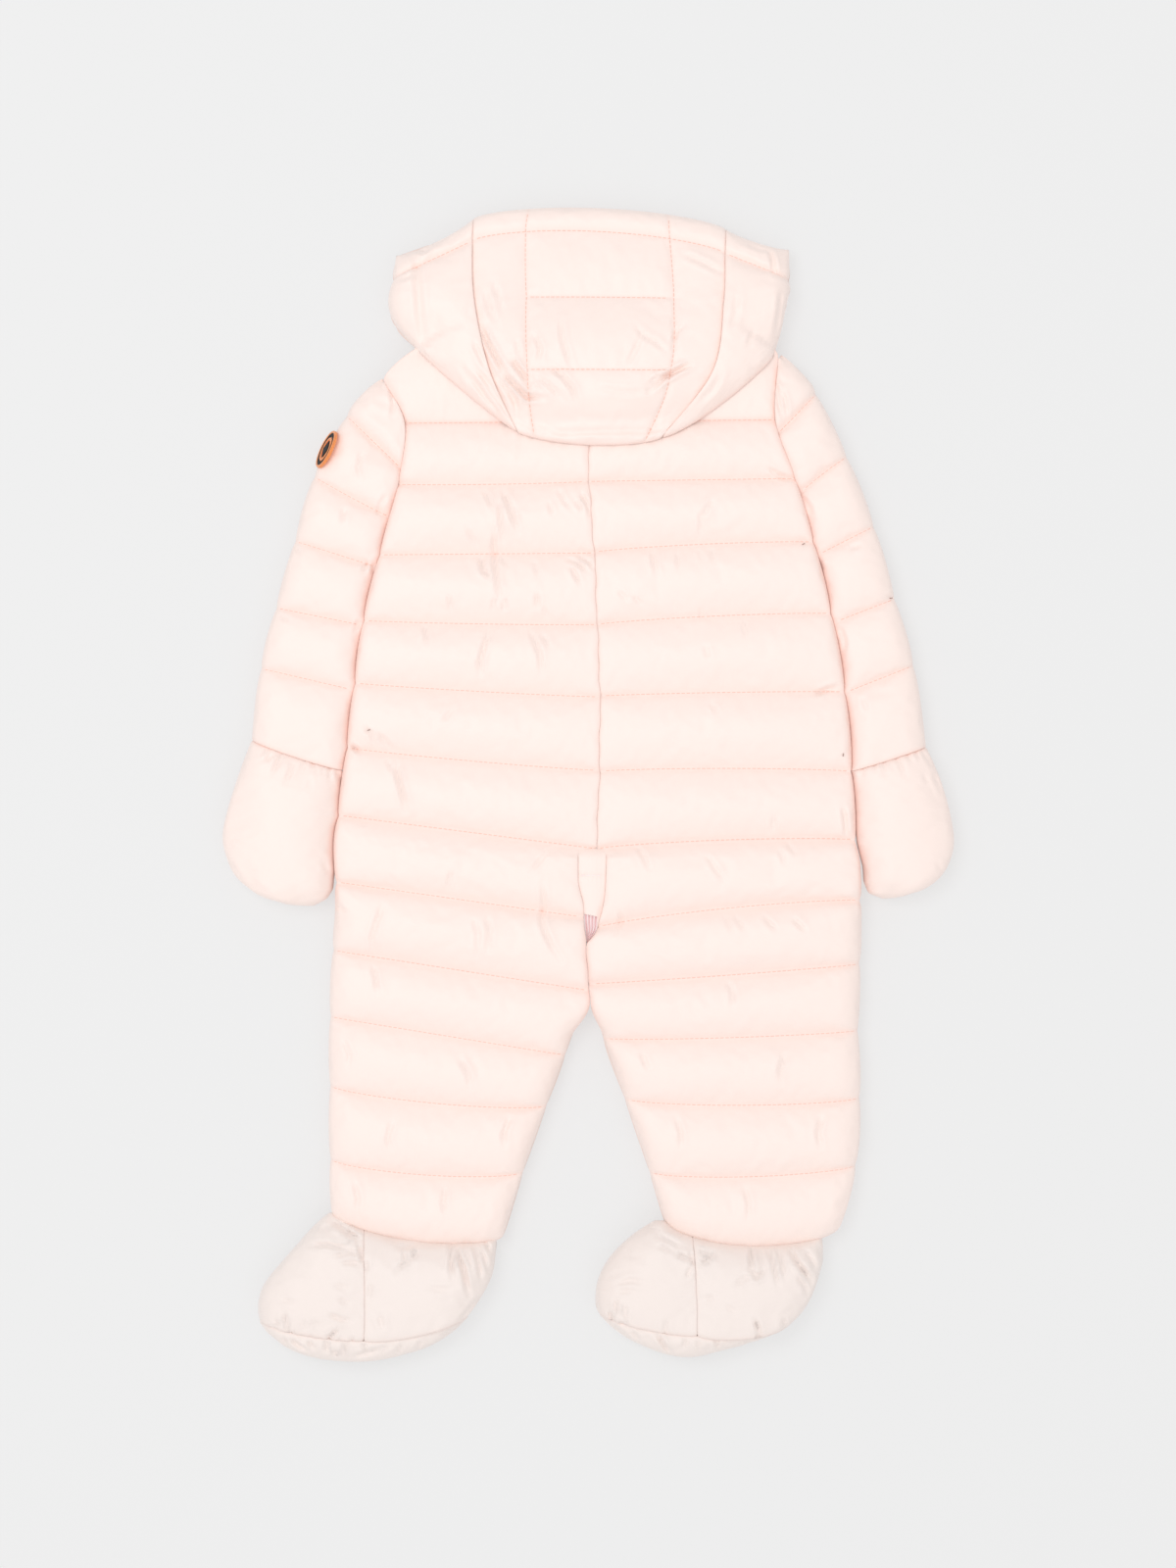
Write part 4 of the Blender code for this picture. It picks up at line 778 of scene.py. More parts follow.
def addCreases(piece, creases, up=1, deepen=clothSettings["crease"]):
    # soft troughs that taper out, with a low ridge on each side
    points = getPoints(piece)
    x, y = points[:, 0] / mm - suitShift[0], points[:, 1] / mm - suitShift[1]
    change = np.zeros(len(points))
    least, first, last = creaseForm["ends"]
    ridge, place = creaseForm["ridge"]
    for depth, half, *bends in creases:
        line = np.stack(fromPicture(*np.array(bends, float).reshape(-1, 2).T), 1)
        reach = 4 * half
        near = np.nonzero(
            (x > line[:, 0].min() - reach) & (x < line[:, 0].max() + reach)
            & (y > line[:, 1].min() - reach) & (y < line[:, 1].max() + reach)
        )[0]
        if not len(near):
            continue
        away, share, done = np.full(len(near), beyond), np.zeros(len(near)), 0.0
        total = np.linalg.norm(np.diff(line, axis=0), axis=1).sum()
        for a, b in zip(line[:-1], line[1:]):
            length = np.linalg.norm(b - a)
            t = np.clip(((x[near] - a[0]) * (b - a)[0] + (y[near] - a[1]) * (b - a)[1]) / length**2, 0, 1)
            gap = np.hypot(x[near] - a[0] - t * (b - a)[0], y[near] - a[1] - t * (b - a)[1])
            closer = gap < away
            away = np.where(closer, gap, away)
            share = np.where(closer, (done + t * length) / total, share)
            done += length
        fade = least + (1 - least) * ease(share / first) * ease((1 - share) / last)
        side = away / half
        change[near] += depth * deepen * fade * (ridge * np.exp(-((side - place) ** 2)) - np.exp(-(side**2)))
    points[:, 2] = np.maximum(points[:, 2] + change * mm * up, 0)
    setPoints(piece, points)


def closeLevel(piece, height):
    # a narrow edge down to the seam, and a level inside
    selectOnly(piece)
    bpy.ops.object.mode_set(mode="EDIT")
    bpy.ops.mesh.select_mode(type="EDGE")
    bpy.ops.mesh.select_all(action="DESELECT")
    bpy.ops.mesh.select_non_manifold()
    bpy.ops.mesh.extrude_edges_move()
    bpy.ops.object.mode_set(mode="OBJECT")
    points = getPoints(piece)
    points[chosenPoints(piece), 2] = height * mm
    setPoints(piece, points)
    bpy.ops.object.mode_set(mode="EDIT")
    bpy.ops.mesh.edge_face_add()
    bpy.ops.object.mode_set(mode="OBJECT")


def closeShaped(piece, inside):
    # a whole second layer, for a panel whose inside isn't level
    selectOnly(piece)
    bpy.ops.object.mode_set(mode="EDIT")
    bpy.ops.mesh.select_mode(type="FACE")
    bpy.ops.mesh.select_all(action="SELECT")
    bpy.ops.mesh.extrude_region_move()
    bpy.ops.object.mode_set(mode="OBJECT")
    points, chosen = getPoints(piece), chosenPoints(piece)
    below = inside(points[chosen, 0] / mm - suitShift[0], points[chosen, 1] / mm - suitShift[1]) * mm
    points[chosen, 2] = np.minimum(below, points[chosen, 2] - clothSettings["thin"] * mm)
    setPoints(piece, points)
    edit(bpy.ops.mesh.normals_make_consistent, inside=False)
    piece.data.update()


# ---- finishes ----
class Value:
    # a socket that shader maths can be written with
    def __init__(self, tree, socket):
        self.tree, self.socket = tree, socket

    def maths(self, operation, first, second=None):
        node = self.tree.nodes.new("ShaderNodeMath")
        node.operation = operation
        for slot, value in enumerate((first, second)):
            if isinstance(value, Value):
                self.tree.links.new(value.socket, node.inputs[slot])
            elif value is not None:
                node.inputs[slot].default_value = value
        return Value(self.tree, node.outputs[0])

    def __add__(self, other):
        return self.maths("ADD", self, other)

    def __radd__(self, other):
        return self.maths("ADD", other, self)

    def __mul__(self, other):
        return self.maths("MULTIPLY", self, other)

    def __rmul__(self, other):
        return self.maths("MULTIPLY", other, self)


class Finish:
    def __init__(self, name, roughness=0.5, metallic=0.0, sheen=0.0, colour=(0.8, 0.8, 0.8)):
        self.material = bpy.data.materials.new(name)
        self.material.use_nodes = True
        self.tree = self.material.node_tree
        self.shader = self.tree.nodes["Principled BSDF"]
        self.shader.inputs["Base Color"].default_value = (*colour, 1)
        self.shader.inputs["Roughness"].default_value = roughness
        self.shader.inputs["Metallic"].default_value = metallic
        self.shader.inputs["Sheen Weight"].default_value = sheen
        self.shader.inputs["Sheen Roughness"].default_value = 0.4
        self.material.diffuse_color = (*colour, 1)

    def node(self, kind, settings=None, inputs=None, out=0):
        node = self.tree.nodes.new(kind)
        for key, value in (settings or {}).items():
            if key == "stops":
                ramp = node.color_ramp.elements
                while len(ramp) < len(value):
                    ramp.new(0.5)
                for stop, (place, shade) in zip(ramp, value):
                    stop.position, stop.color = place, shade
            else:
                setattr(node, key, value)
        for key, value in (inputs or {}).items():
            if isinstance(value, Value):
                self.tree.links.new(value.socket, node.inputs[key])
            else:
                node.inputs[key].default_value = value
        return Value(self.tree, node.outputs[out])

    def feed(self, name, value):
        self.tree.links.new(value.socket, self.shader.inputs[name])


def nylon(name, look):
    finish = Finish(name, look["roughness"], 0.0, look["sheen"], look["colour"])
    place = finish.node("ShaderNodeTexCoord", out=3)
    press = finish.node("ShaderNodeAttribute", {"attribute_name": "press"}, out=2)
    broad = finish.node("ShaderNodeTexNoise", None, {"Vector": place, "Scale": 14.0, "Detail": 3.0})
    fine = finish.node("ShaderNodeTexNoise", None, {"Vector": place, "Scale": 260.0, "Detail": 3.0})
    warp, weft = (
        finish.node(
            "ShaderNodeTexWave", {"wave_type": "BANDS", "bands_direction": way},
            {"Vector": place, "Scale": look["threads"]}, out=1,
        )
        for way in "XY"
    )
    shade = (*look["colour"], 1)
    # the first blend is random tone; the second is painted shade, towards the finish's "seam" colour where the
    # attribute says
    for share, colour in ((broad * 0.5 + fine * 0.15, look["shade"]), (press * look["paintedShadeStrength"], look["seam"])):
        shade = finish.node("ShaderNodeMix", {"data_type": "RGBA"}, {0: share, 6: shade, 7: (*colour, 1)}, out=2)
    finish.feed("Base Color", shade)
    finish.feed("Roughness", broad * 0.12 + press * 0.08 + (look["roughness"] - 0.06))
    relief = warp * 0.35 + weft * 0.35 + fine * 0.9
    bump = finish.node("ShaderNodeBump", None, {"Strength": look["weave"], "Distance": 0.0003, "Height": relief})
    finish.feed("Normal", bump)
    return finish.material


# each finish's "seam" colour is its painted shade, blended in where grooves, seams and pleats lie; its "shade" colour
# is random tone
finishes = {
    "suit": {
        "colour": (0.985, 0.838, 0.78), "shade": (0.98, 0.828, 0.77), "seam": (0.97, 0.64, 0.56), "paintedShadeStrength": 0.5,
        "roughness": 0.48, "sheen": 0.25, "threads": 620.0, "weave": 0.16,
    },
    "booties": {
        "colour": (0.917, 0.822, 0.778), "shade": (0.897, 0.798, 0.752), "seam": (0.95, 0.68, 0.6), "paintedShadeStrength": 0.5,
        "roughness": 0.55, "sheen": 0.3, "threads": 520.0, "weave": 0.2,
    },
    "thread": {
        "colour": (0.93, 0.6, 0.5), "shade": (0.9, 0.56, 0.46), "seam": (0.9, 0.6, 0.5), "paintedShadeStrength": 0.0,
        "roughness": 0.6, "sheen": 0.2, "threads": 2500.0, "weave": 0.3,
    },
    # the facing's "seam" colour is painted shade, deep in its pleats
    "facing": {
        "colour": (0.98, 0.87, 0.89), "shade": (0.97, 0.85, 0.87), "seam": (0.78, 0.48, 0.47), "paintedShadeStrength": 0.75,
        "roughness": 0.6, "sheen": 0.3, "threads": 620.0, "weave": 0.25,
    },
    "tape": {
        "colour": (0.93, 0.78, 0.73), "shade": (0.9, 0.74, 0.69), "seam": (0.9, 0.7, 0.6), "paintedShadeStrength": 0.0,
        "roughness": 0.7, "sheen": 0.3, "threads": 900.0, "weave": 0.5,
    },
    "teeth": {
        "colour": (0.93, 0.8, 0.76), "shade": (0.9, 0.76, 0.72), "seam": (0.9, 0.7, 0.6), "paintedShadeStrength": 0.0,
        "roughness": 0.35, "sheen": 0.0, "threads": 300.0, "weave": 0.05,
    },
    "orange": {
        "colour": (1.0, 0.36, 0.11), "shade": (0.95, 0.3, 0.08), "seam": (0.6, 0.2, 0.05), "paintedShadeStrength": 0.0,
        "roughness": 0.6, "sheen": 0.4, "threads": 700.0, "weave": 0.8,
    },
    "black": {
        "colour": (0.012, 0.01, 0.012), "shade": (0.028, 0.02, 0.02), "seam": (0.0, 0.0, 0.0), "paintedShadeStrength": 0.0,
        "roughness": 0.8, "sheen": 0.0, "threads": 700.0, "weave": 0.8,
    },
    "tack": {
        "colour": (0.45, 0.3, 0.26), "shade": (0.38, 0.25, 0.22), "seam": (0.0, 0.0, 0.0), "paintedShadeStrength": 0.0,
        "roughness": 0.6, "sheen": 0.2, "threads": 2500.0, "weave": 0.3,
    },
}
suitNylon = nylon("suit_nylon", finishes["suit"])
bootieNylon = nylon("bootie_nylon", finishes["booties"])
sewingThread = nylon("sewing_thread", finishes["thread"])
facingNylon = nylon("facing_nylon", finishes["facing"])
tapeWeave = nylon("zip_tape_weave", finishes["tape"])
toothNylon = nylon("zip_tooth_nylon", finishes["teeth"])
orangeThread = nylon("orange_embroidery", finishes["orange"])
blackThread = nylon("black_embroidery", finishes["black"])
tackThread = nylon("tack_thread", finishes["tack"])


def platedMetal():
    finish = Finish("plated_metal", roughness=0.3, metallic=1.0, colour=(0.75, 0.73, 0.72))
    place = finish.node("ShaderNodeTexCoord", out=3)
    grain = finish.node("ShaderNodeTexNoise", None, {"Vector": place, "Scale": 900.0, "Detail": 2.0})
    finish.feed("Roughness", grain * 0.25 + 0.2)
    finish.feed("Normal", finish.node("ShaderNodeBump", None, {"Strength": 0.1, "Distance": 0.0001, "Height": grain}))
    return finish.material


sliderMetal = platedMetal()
print("finishes made")


# ---- stitches ----
stitch = {"bar": (2.5, 0.5, 0.4), "bevel": 0.16, "pitch": 3.5, "above": 0.12}  # a bar's length, width and height


def roundedBar(length, across, deep, bevel):
    # a template that is copied along a line
    bpy.ops.object.select_all(action="DESELECT")
    bpy.ops.mesh.primitive_cube_add(size=1)
    template = bpy.context.object
    template.scale = (length, across, deep)
    bpy.ops.object.transform_apply(location=False, rotation=False, scale=True)
    edit(bpy.ops.mesh.bevel, offset=bevel, segments=1)
    points = getPoints(template).copy()
    faces = [tuple(p.vertices) for p in template.data.polygons]
    bpy.data.objects.remove(template, do_unlink=True)
    return points, faces


stitchPoints, stitchFaces = roundedBar(*stitch["bar"], stitch["bevel"])


def copiesAlong(name, shape, shapeFaces, lines, pitch, material):
    # one copy of the shape at each pitch along the lines, which are in mm in the frame
    points, faces = [], []
    for line in lines:
        line = np.asarray(line)
        steps = np.linalg.norm(np.diff(line, axis=0), axis=1)
        total = np.concatenate([[0], np.cumsum(steps)])
        for at in np.arange(pitch * 0.7, total[-1] - pitch * 0.5, pitch):
            here, ahead = (np.array([np.interp(to, total, line[:, k]) for k in range(3)]) for to in (at, at + 1))
            along = (ahead - here) / max(np.linalg.norm(ahead - here), 1e-6)
            side = np.cross((0, 0, 1), along)
            side /= np.linalg.norm(side)
            base = len(points) * len(shape)
            points.append(here + shape @ np.array([along, side, np.cross(along, side)]))
            faces += [tuple(i + base for i in face) for face in shapeFaces]
    mesh = bpy.data.meshes.new(name)
    mesh.from_pydata((np.concatenate(points) * mm).tolist(), [], faces)
    mesh.materials.append(material)
    made = bpy.data.objects.new(name, mesh)
    bpy.context.scene.collection.objects.link(made)
    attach(made, "root")
    return made


def sew(name, lines, material=None):
    sewn = copiesAlong(name, stitchPoints, stitchFaces, lines, stitch["pitch"], material or sewingThread)
    return sewn


# ---- making the panels ----
def areaOf(lay, heights):
    # the cloth of a panel before it was sewn, in square metres
    p = np.stack([lay["x"], lay["y"], heights], 2)
    return np.linalg.norm(np.cross(p[1:, :-1] - p[:-1, :-1], p[:-1, 1:] - p[:-1, :-1]), axis=2).sum() * mm * mm


def declare(lay, heights, withPieces=()):
    # quilting takes up 6 % of the cut, and no cut is less than 30 % of the rectangle round it
    area = float(areaOf(lay, heights))
    length = (lay["y"].max() - lay["y"].min()) * mm * 1.06
    width = max((lay["x"].max() - lay["x"].min()) * mm * 1.06, area / length * 1.02)
    area = round(max(area, 0.3 * width * length), 6)


def finishPiece(piece, node, material):
    piece.data.materials.clear()
    piece.data.materials.append(material)
    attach(piece, "root")
    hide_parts(node)


def betweenUprights(look, lay, rowOn):
    # a panel with upright lines is quilted across only between them, and its sides are less puffed
    left, right = (np.interp(lay["places"], range(len(s)), s)[:, None] for s in look["upright"])
    between = np.minimum(lay["u"] - left, right - lay["u"])
    second = int(np.argmax(lay["places"] >= 1)) + 1
    rowOn[second:] &= (between >= 0)[second:]
    start, over = look["sideFrom"]
    lower = ease((lay["places"][:, None] - start) / over)
    flat = look["leastFlat"] + (1 - look["leastFlat"]) * (1 - ease(between / 0.05 + 1))
    lay["puff"] = mix(lay["puff"], 1, flat * lower)


def uprightGrooves(look, lay):
    near = np.abs(lay["x"][:, :, None] - lay["x"][:, None, :][:, :, lay["upright"]]).min(2)
    groove = look["puff"] * look["uprightDepth"] * (1 - quarterRound(near / look["grooveReach"]))
    return groove * lay["puff"] * lay["loft"]


def tintOf(look, lay, sewn):
    # how far each point gets painted shade: in the quilting grooves, along sewn edges, on a bolder row, along the ends
    # and in valleys beside a neighbour
    deepShade = acrossRows(np.isclose(lay["places"], look.get("shadedRow", -1)), sewn.shape[1])
    firstShade, lastShade = look.get("endShades", (0, 0))
    marks = (  # distance, share of painted shade and reach
        (distanceTo(sewn, lay), 0.42, 1.1),
        (distanceTo(edgeSewn(lay), lay), look.get("edgeTint", 0.5), 1.0),
        (distanceTo(deepShade, lay), 1.0, 1.2),
        (lay["fromFirst"], firstShade, 1.6),
        (lay["fromLast"], lastShade, 1.6),
        (lay["fromOuter"], lookAtHeight(look, "outerValleyShade", lay["y"]), 2.6),
        (lay["fromInner"], lookAtHeight(look, "innerValleyShade", lay["y"]), 2.6),
    )
    return np.max([shadeShare * np.exp(-((away / reach) ** 2)) for away, shadeShare, reach in marks], axis=0)


def spareCloth(look, lay):
    # where the cloth has more length to pucker, as a share from 0 to 1
    usual, size = clothSettings["spare"]
    spare = usual + usual * wobble(lay["x"] * 1.4, lay["y"] * 0.7, size, look["seed"] + 50)
    px = lay["x"] / picture["unit"] + picture["middle"][0]
    py = picture["middle"][1] - lay["y"] / picture["unit"]
    for x0, y0, reachX, reachY, more in look.get("loose", ()):
        spare = spare + more * np.exp(-(((px - x0) / reachX) ** 2) - ((py - y0) / reachY) ** 2)
    return np.clip(spare, 0, 1)


def stitchLines(lay, rowOn, heights):
    lines = []
    for row in np.nonzero(rowOn.any(1))[0]:
        if 0 < row < len(rowOn) - 1:
            on = np.nonzero(rowOn[row])[0][1:-1]
            lines.append(linePoints(lay, heights, np.full(len(on), row), on))
    for column in np.nonzero(lay["upright"])[0]:
        on = np.arange(2, len(lay["places"]) - 1)
        lines.append(linePoints(lay, heights, on, np.full(len(on), column)))
    return lines


def quiltUpper(
    look, lay, top=None, inside=None, material=suitNylon, stitches=True
):
    rowOn = acrossRows(lay["onRow"], lay["x"].shape[1])
    if "upright" in look:
        betweenUprights(look, lay, rowOn)
    heights = upperHeights(lay, look, top)
    if "upright" in look:
        heights = heights - uprightGrooves(look, lay)
    sewn = rowOn | lay["upright"][None, :]
    held = sewn.copy()
    held[0] = held[-1] = held[:, 0] = held[:, -1] = True
    # painted shade in the grooves, seams and valleys
    lay["press"] = tintOf(look, lay, sewn)
    rough = clothSettings["rough"] * wobble(lay["x"], lay["y"], 5, look["seed"])
    piece, r, k = layGrid(look["piece"], lay, heights + np.where(held, 0, rough))
    inflate(piece, held[r, k], spareCloth(look, lay)[r, k], look)
    smooth(piece)
    addCreases(piece, look.get("creases", ()), deepen=look.get("crease", clothSettings["crease"]))
    settled = np.zeros(heights.shape)
    settled[r, k] = getPoints(piece)[: len(r), 2] / mm  # a smoothed mesh keeps its own corners first
    if inside:
        closeShaped(piece, inside)
    else:
        closeLevel(piece, seamHeight + layerGap)
    finishPiece(piece, look["node"], material)
    extra = []
    if stitches:
        extra = [sew(look["piece"].replace("_quilt", "") + "_stitches", stitchLines(lay, rowOn, settled))]
    declare(lay, settled, extra)
    print(look["piece"], "made of", heights.shape, "points")


def linePoints(lay, heights, r, k):
    x, y, z = lay["x"][r, k] + suitShift[0], lay["y"][r, k] + suitShift[1], heights[r, k]
    return np.stack([x, y, z + stitch["above"]], 1)


def edgeSewn(lay):
    on = np.zeros(lay["x"].shape, bool)
    on[:, 0] = lay["outerFold"][:, 0] < 0.5
    on[:, -1] = lay["innerFold"][:, 0] < 0.5
    return on


def distanceTo(marked, lay):
    # how far each point is from the nearest marked one, along its row or its column
    away = np.full(marked.shape, beyond)
    for r in np.nonzero(marked.any(1))[0]:
        gap = np.hypot(lay["x"] - lay["x"][r], lay["y"] - lay["y"][r])
        away = np.minimum(away, np.where(marked[r], gap, beyond))
    for k in np.nonzero(marked.any(0))[0]:
        gap = np.hypot(lay["x"] - lay["x"][:, [k]], lay["y"] - lay["y"][:, [k]])
        away = np.minimum(away, np.where(marked[:, [k]], gap, beyond))
    return away


def underSide(look, lay, name, node, material=suitNylon, creases=()):
    heights = lowerHeights(lay, look)
    away = distanceTo(acrossRows(lay["onRow"], heights.shape[1]), lay)
    # painted shade along the underside's quilting lines
    lay["press"] = lining["shadeShare"] * np.exp(-((away / lining["shadeReach"]) ** 2))
    piece, _, _ = layGrid(name, lay, heights, facesUp=False)
    smooth(piece)
    addCreases(piece, creases, up=-1)
    closeLevel(piece, seamHeight - layerGap)
    finishPiece(piece, node, material)
    declare(lay, heights)
    print(name, "made")


def edgeOf(lay, column):
    # an edge's x at each height, for the neighbour that lies along it
    ys, xs = lay["y"][::-1, column], lay["x"][::-1, column]
    return lambda y: np.interp(y, ys, xs)


sewnGap = 0.04
zipRoom = 3.0  # from the middle to each front
fronts = {
    "neck": (283.5, 30.0),  # y at the zip and the bow of the neck, which is lower than the back's
    "folds": (0.6, 1),
    "leastOuterFold": 0.3,
    "creases": (0.7, 9),  # share of the other back's depth, and how far down on the picture they stand
    "sleeveGap": 1.2,
}
seamWaves = ((0.3, 3.1, 0), (0.35, 7.7, 1))  # half height, size and turn
centreSeam = (
    (-300, 0), (-48, 4.7), (-44.5, 4.7), (9.5, 6.5), (61, 7.1), (111, 5.1), (161, 3.05), (210.5, -0.95), (252, -0.3),
    (310, -0.3),
)  # y and x


def centreLine(look, away):
    # the two back panels meet on one slightly wavy line, and part below the gusset
    table = look["rows"]
    innerX = alongCurve(table[:, 2], np.arange(len(table), dtype=float))
    waveY = range(-60, 400)
    waveX = [sum(half * math.sin(y / size + turn) for half, size, turn in seamWaves) for y in waveY]

    def line(y):
        wave = np.interp(y, waveY, waveX) * ease((y + 50) / 25)
        leg = np.interp(-y, -table[:, 3], innerX)
        split = mix(leg, atHeight(look["crotch"], y), ease((y + 176) / 26))
        return np.where(y > -45, atHeight(centreSeam, y) + away * sewnGap / 2 + wave, split)

    return line


def makeBody(look, side):
    away = 1 if side == "right" else -1
    lay = layOut(look, innerLine=centreLine(look, away))
    quiltUpper(look, lay)
    table = look["rows"].copy()
    table[:, 2] += away * zipRoom * (1 - table[:, 7])
    table[:, 6] = np.maximum(table[:, 6], fronts["leastOuterFold"])
    table[0, 3], table[0, 4] = fronts["neck"]
    front = {**look, "rows": table, "cell": lining["cell"], "lowerFolds": fronts["folds"]}
    frontLay = layOut(front)
    # the hidden side has the other back's creases, turned over and shallower
    creases = []
    share, down = fronts["creases"]
    for depth, half, *bends in (backRight if side == "left" else backLeft)["creases"]:
        turned = [v + down if k % 2 else 2 * picture["middle"][0] - v for k, v in enumerate(bends)]
        creases.append((depth * share, half, *turned))
    underSide(front, frontLay, f"front_{side}_quilt", f"front_{side}", creases=creases)
    return lay, frontLay


def makeArm(sleeve, mitten, side, body, front):
    away = 1 if side == "right" else -1
    bodyEdge, frontEdge = edgeOf(body, 0), edgeOf(front, 0)
    quiltUpper(
        sleeve, layOut(sleeve, innerLine=lambda y: bodyEdge(y) + away * sewnGap)
    )
    lower = {**sleeve, "cell": lining["cell"], "lowerFolds": (1, 0)}
    lowerLay = layOut(lower, innerLine=lambda y: frontEdge(y) + away * fronts["sleeveGap"])
    underSide(lower, lowerLay, f"sleeve_{side}_lining", f"sleeve_{side}_under")

    own = mitten["rows"]

    def beside(y):
        outline = np.interp(y, own[::-1, 3], own[::-1, 2])
        return away * np.maximum(away * bodyEdge(y) + sewnGap, away * outline)

    quiltUpper(mitten, layOut(mitten, innerLine=beside), stitches=False)
    palm = {**mitten, "cell": lining["cell"], "lowerFolds": (0, 1)}
    underSide(palm, layOut(palm, innerLine=beside), f"mitten_{side}_underside", f"mitten_{side}_palm")


def heightMap(pieces, square=3, half=(90, 140)):
    # the highest point of the pieces in each square, and a function that reads it
    grid = np.full((2 * half[0], 2 * half[1]), -1.0)
    for piece in pieces:
        points = getPoints(piece) / mm
        i = np.rint((points[:, 0] - suitShift[0]) / square + half[0]).astype(int)
        j = np.rint((points[:, 1] - suitShift[1]) / square + half[1]).astype(int)
        np.maximum.at(grid, (i, j), points[:, 2])

    def resting(x, y):
        i, j = (
            np.clip(np.rint(np.asarray(v) / square + h).astype(int), 1, 2 * h - 2) for v, h in zip((x, y), half)
        )
        return sum(grid[i + a, j + b] for a in (-1, 0, 1) for b in (-1, 0, 1)) / 9

    return resting


leftBody, leftFront = makeBody(backLeft, "left")
rightBody, rightFront = makeBody(backRight, "right")
makeArm(sleeveLeft, mittenLeft, "left", leftBody, leftFront)
makeArm(sleeveRight, mittenRight, "right", rightBody, rightFront)
uppers = ("back_{}_quilt", "sleeve_{}_quilt", "mitten_{}_top")
bodyTop = heightMap([bpy.data.objects[name.format(side)] for name in uppers for side in ("left", "right")])
print("body and arms made")


# ---- hood ----
hood = {
    "heights": (25.0, 49.0),
    "rise": (385, 132),  # y where it starts, and over how far down
    "dome": 0.0006,  # how its sides sink
    "domeFrom": (330, 60),
    "leastHeight": 20,  # of what it lies on, where there is nothing
    "facingRows": (2, 0.8, 14),  # gap to the front's neck, the least step between rows, and how many rows keep it
}
rim = {"level": 3.6, "reach": 52, "clear": 0.6, "near": 12}  # rise at the rim, how far in it is full, room below it


def downFrom(y, start, over):
    return ease((start - y) / over)


def hoodTop(x, y):
    dome = hood["dome"] * x * x * downFrom(y, *hood["domeFrom"])
    return mix(*hood["heights"], downFrom(y, *hood["rise"])) - dome


def hoodLay(look):
    if look is hoodCentre:
        return centreLay
    column, away = (0, -1) if look is hoodLeft else (-1, 1)
    seam = edgeOf(centreLay, column)
    return layOut(look, innerLine=lambda y: seam(y) + away * sewnGap)


centreLay = layOut(hoodCentre)
hoodLays = [(look, hoodLay(look)) for look in (hoodLeft, hoodRight, hoodCentre)]
rimPoints = np.concatenate([np.stack([lay["x"][-1], lay["y"][-1]], 1) for _, lay in hoodLays])


def fromRim(x, y):
    gaps = np.hypot(np.ravel(x)[:, None] - rimPoints[None, ::2, 0], np.ravel(y)[:, None] - rimPoints[None, ::2, 1])
    return gaps.min(1).reshape(np.shape(x))


def overBody(x, y):
    return np.maximum(bodyTop(x, y), seamHeight) + rim["clear"]


def hoodLying(x, y):
    # the hood lies down on the body: its rim follows what is under it
    low = np.maximum(bodyTop(x, y), hood["leastHeight"]) + rim["level"]
    return mix(low, hoodTop(x, y), ease(fromRim(x, y) / rim["reach"]))


for look, lay in hoodLays:
    near = overBody(lay["x"], lay["y"])
    lay["edge"] = np.where(fromRim(lay["x"], lay["y"]) < rim["near"], near, np.minimum(lay["edge"], near))
    quiltUpper(look, lay, hoodLying, overBody)

hoodUnders = {
    "left": rows(
        (-133.0, 368.5, -112.0, 376.0, 0, 1, 1, 0.5),
        (-136.5, 350.5, -104.0, 349.0, 0, 1, 1, 0.5),
        (-137.8, 333.5, -92.0, 326.0, 0, 1, 1, 0.5),
        (-134.4, 318.5, -62.0, 312.0, 5, 1, 1, 0.5),
        (-121.0, 304.5, -12.0, 297.5, 16, 1, 1, 0.5),
    ),
    "right": rows(
        (136.0, 371.0, 114.0, 374.5, -1, 1, 1, 0.5),
        (138.0, 350.5, 106.0, 349.0, 0, 1, 1, 0.5),
        (136.6, 338.0, 94.0, 327.0, 0, 1, 1, 0.5),
        (131.6, 322.0, 62.0, 313.0, 5, 1, 1, 0.5),
        (127.0, 307.5, 12.0, 297.5, 15, 1, 1, 0.5),
    ),
}
for side, front in (("left", leftFront), ("right", rightFront)):
    look = {"rows": hoodUnders[side], "cell": lining["cell"], "lowerFolds": (1, 0)}
    lay = layOut(look)
    # its last rows give way to the front's neck
    gap, step, count = hood["facingRows"]
    neck = onLine(lay["x"], front["x"][0], front["y"][0])
    last = len(lay["x"]) - 1 - np.arange(len(lay["x"]))[:, None]
    lay["y"] = np.where(last < count, np.maximum(lay["y"], neck + gap + last * step), lay["y"])
    underSide(look, lay, f"hood_{side}_facing", f"hood_{side}_under")
print("hood made")


# ---- booties ----
booties = {
    "upper": {
        "endFolds": (0, 0), "roll": 22, "puff": 14, "slack": -0.045, "scallop": 0, "innerDip": (4, 0.97), "drop": 0.12,
        # painted shade along the heel seam and the sole seam
        "edgeTint": 0.3, "endShades": (0, 0.4),
    },
    "sole": {
        "endFolds": (1, 1), "roll": 19, "puff": 13, "slack": -0.04, "innerDip": (4, 0.93), "drop": 0.12,
        # painted shade along the seam to the uppers
        "edgeTint": 0.4,
    },
    "foot": {"cell": lining["cell"], "lowerFolds": (0, 1), "groove": 0.0, "scallop": 0},
    "ankle": (18.5, 23.5, 22),  # the uppers' sewn height at the hem and lower down, and how far down
    "hem": (2.0, 9),  # how far the uppers reach up under the leg's hem, and how many rows follow it
    "soleTop": 23.0,
    "soleRows": 60,
    "soleLap": 0.3,  # how far the sole reaches up under the uppers
    "soleLoft": 1.1,
    "toeRows": (0.12, 0.3),  # shares of the sole's outline, from both ends, that the foot's last rows join
    "footHem": (0.6, 1.2, 8),  # gap to the front's hem, the least step between rows, and how many rows keep it
}


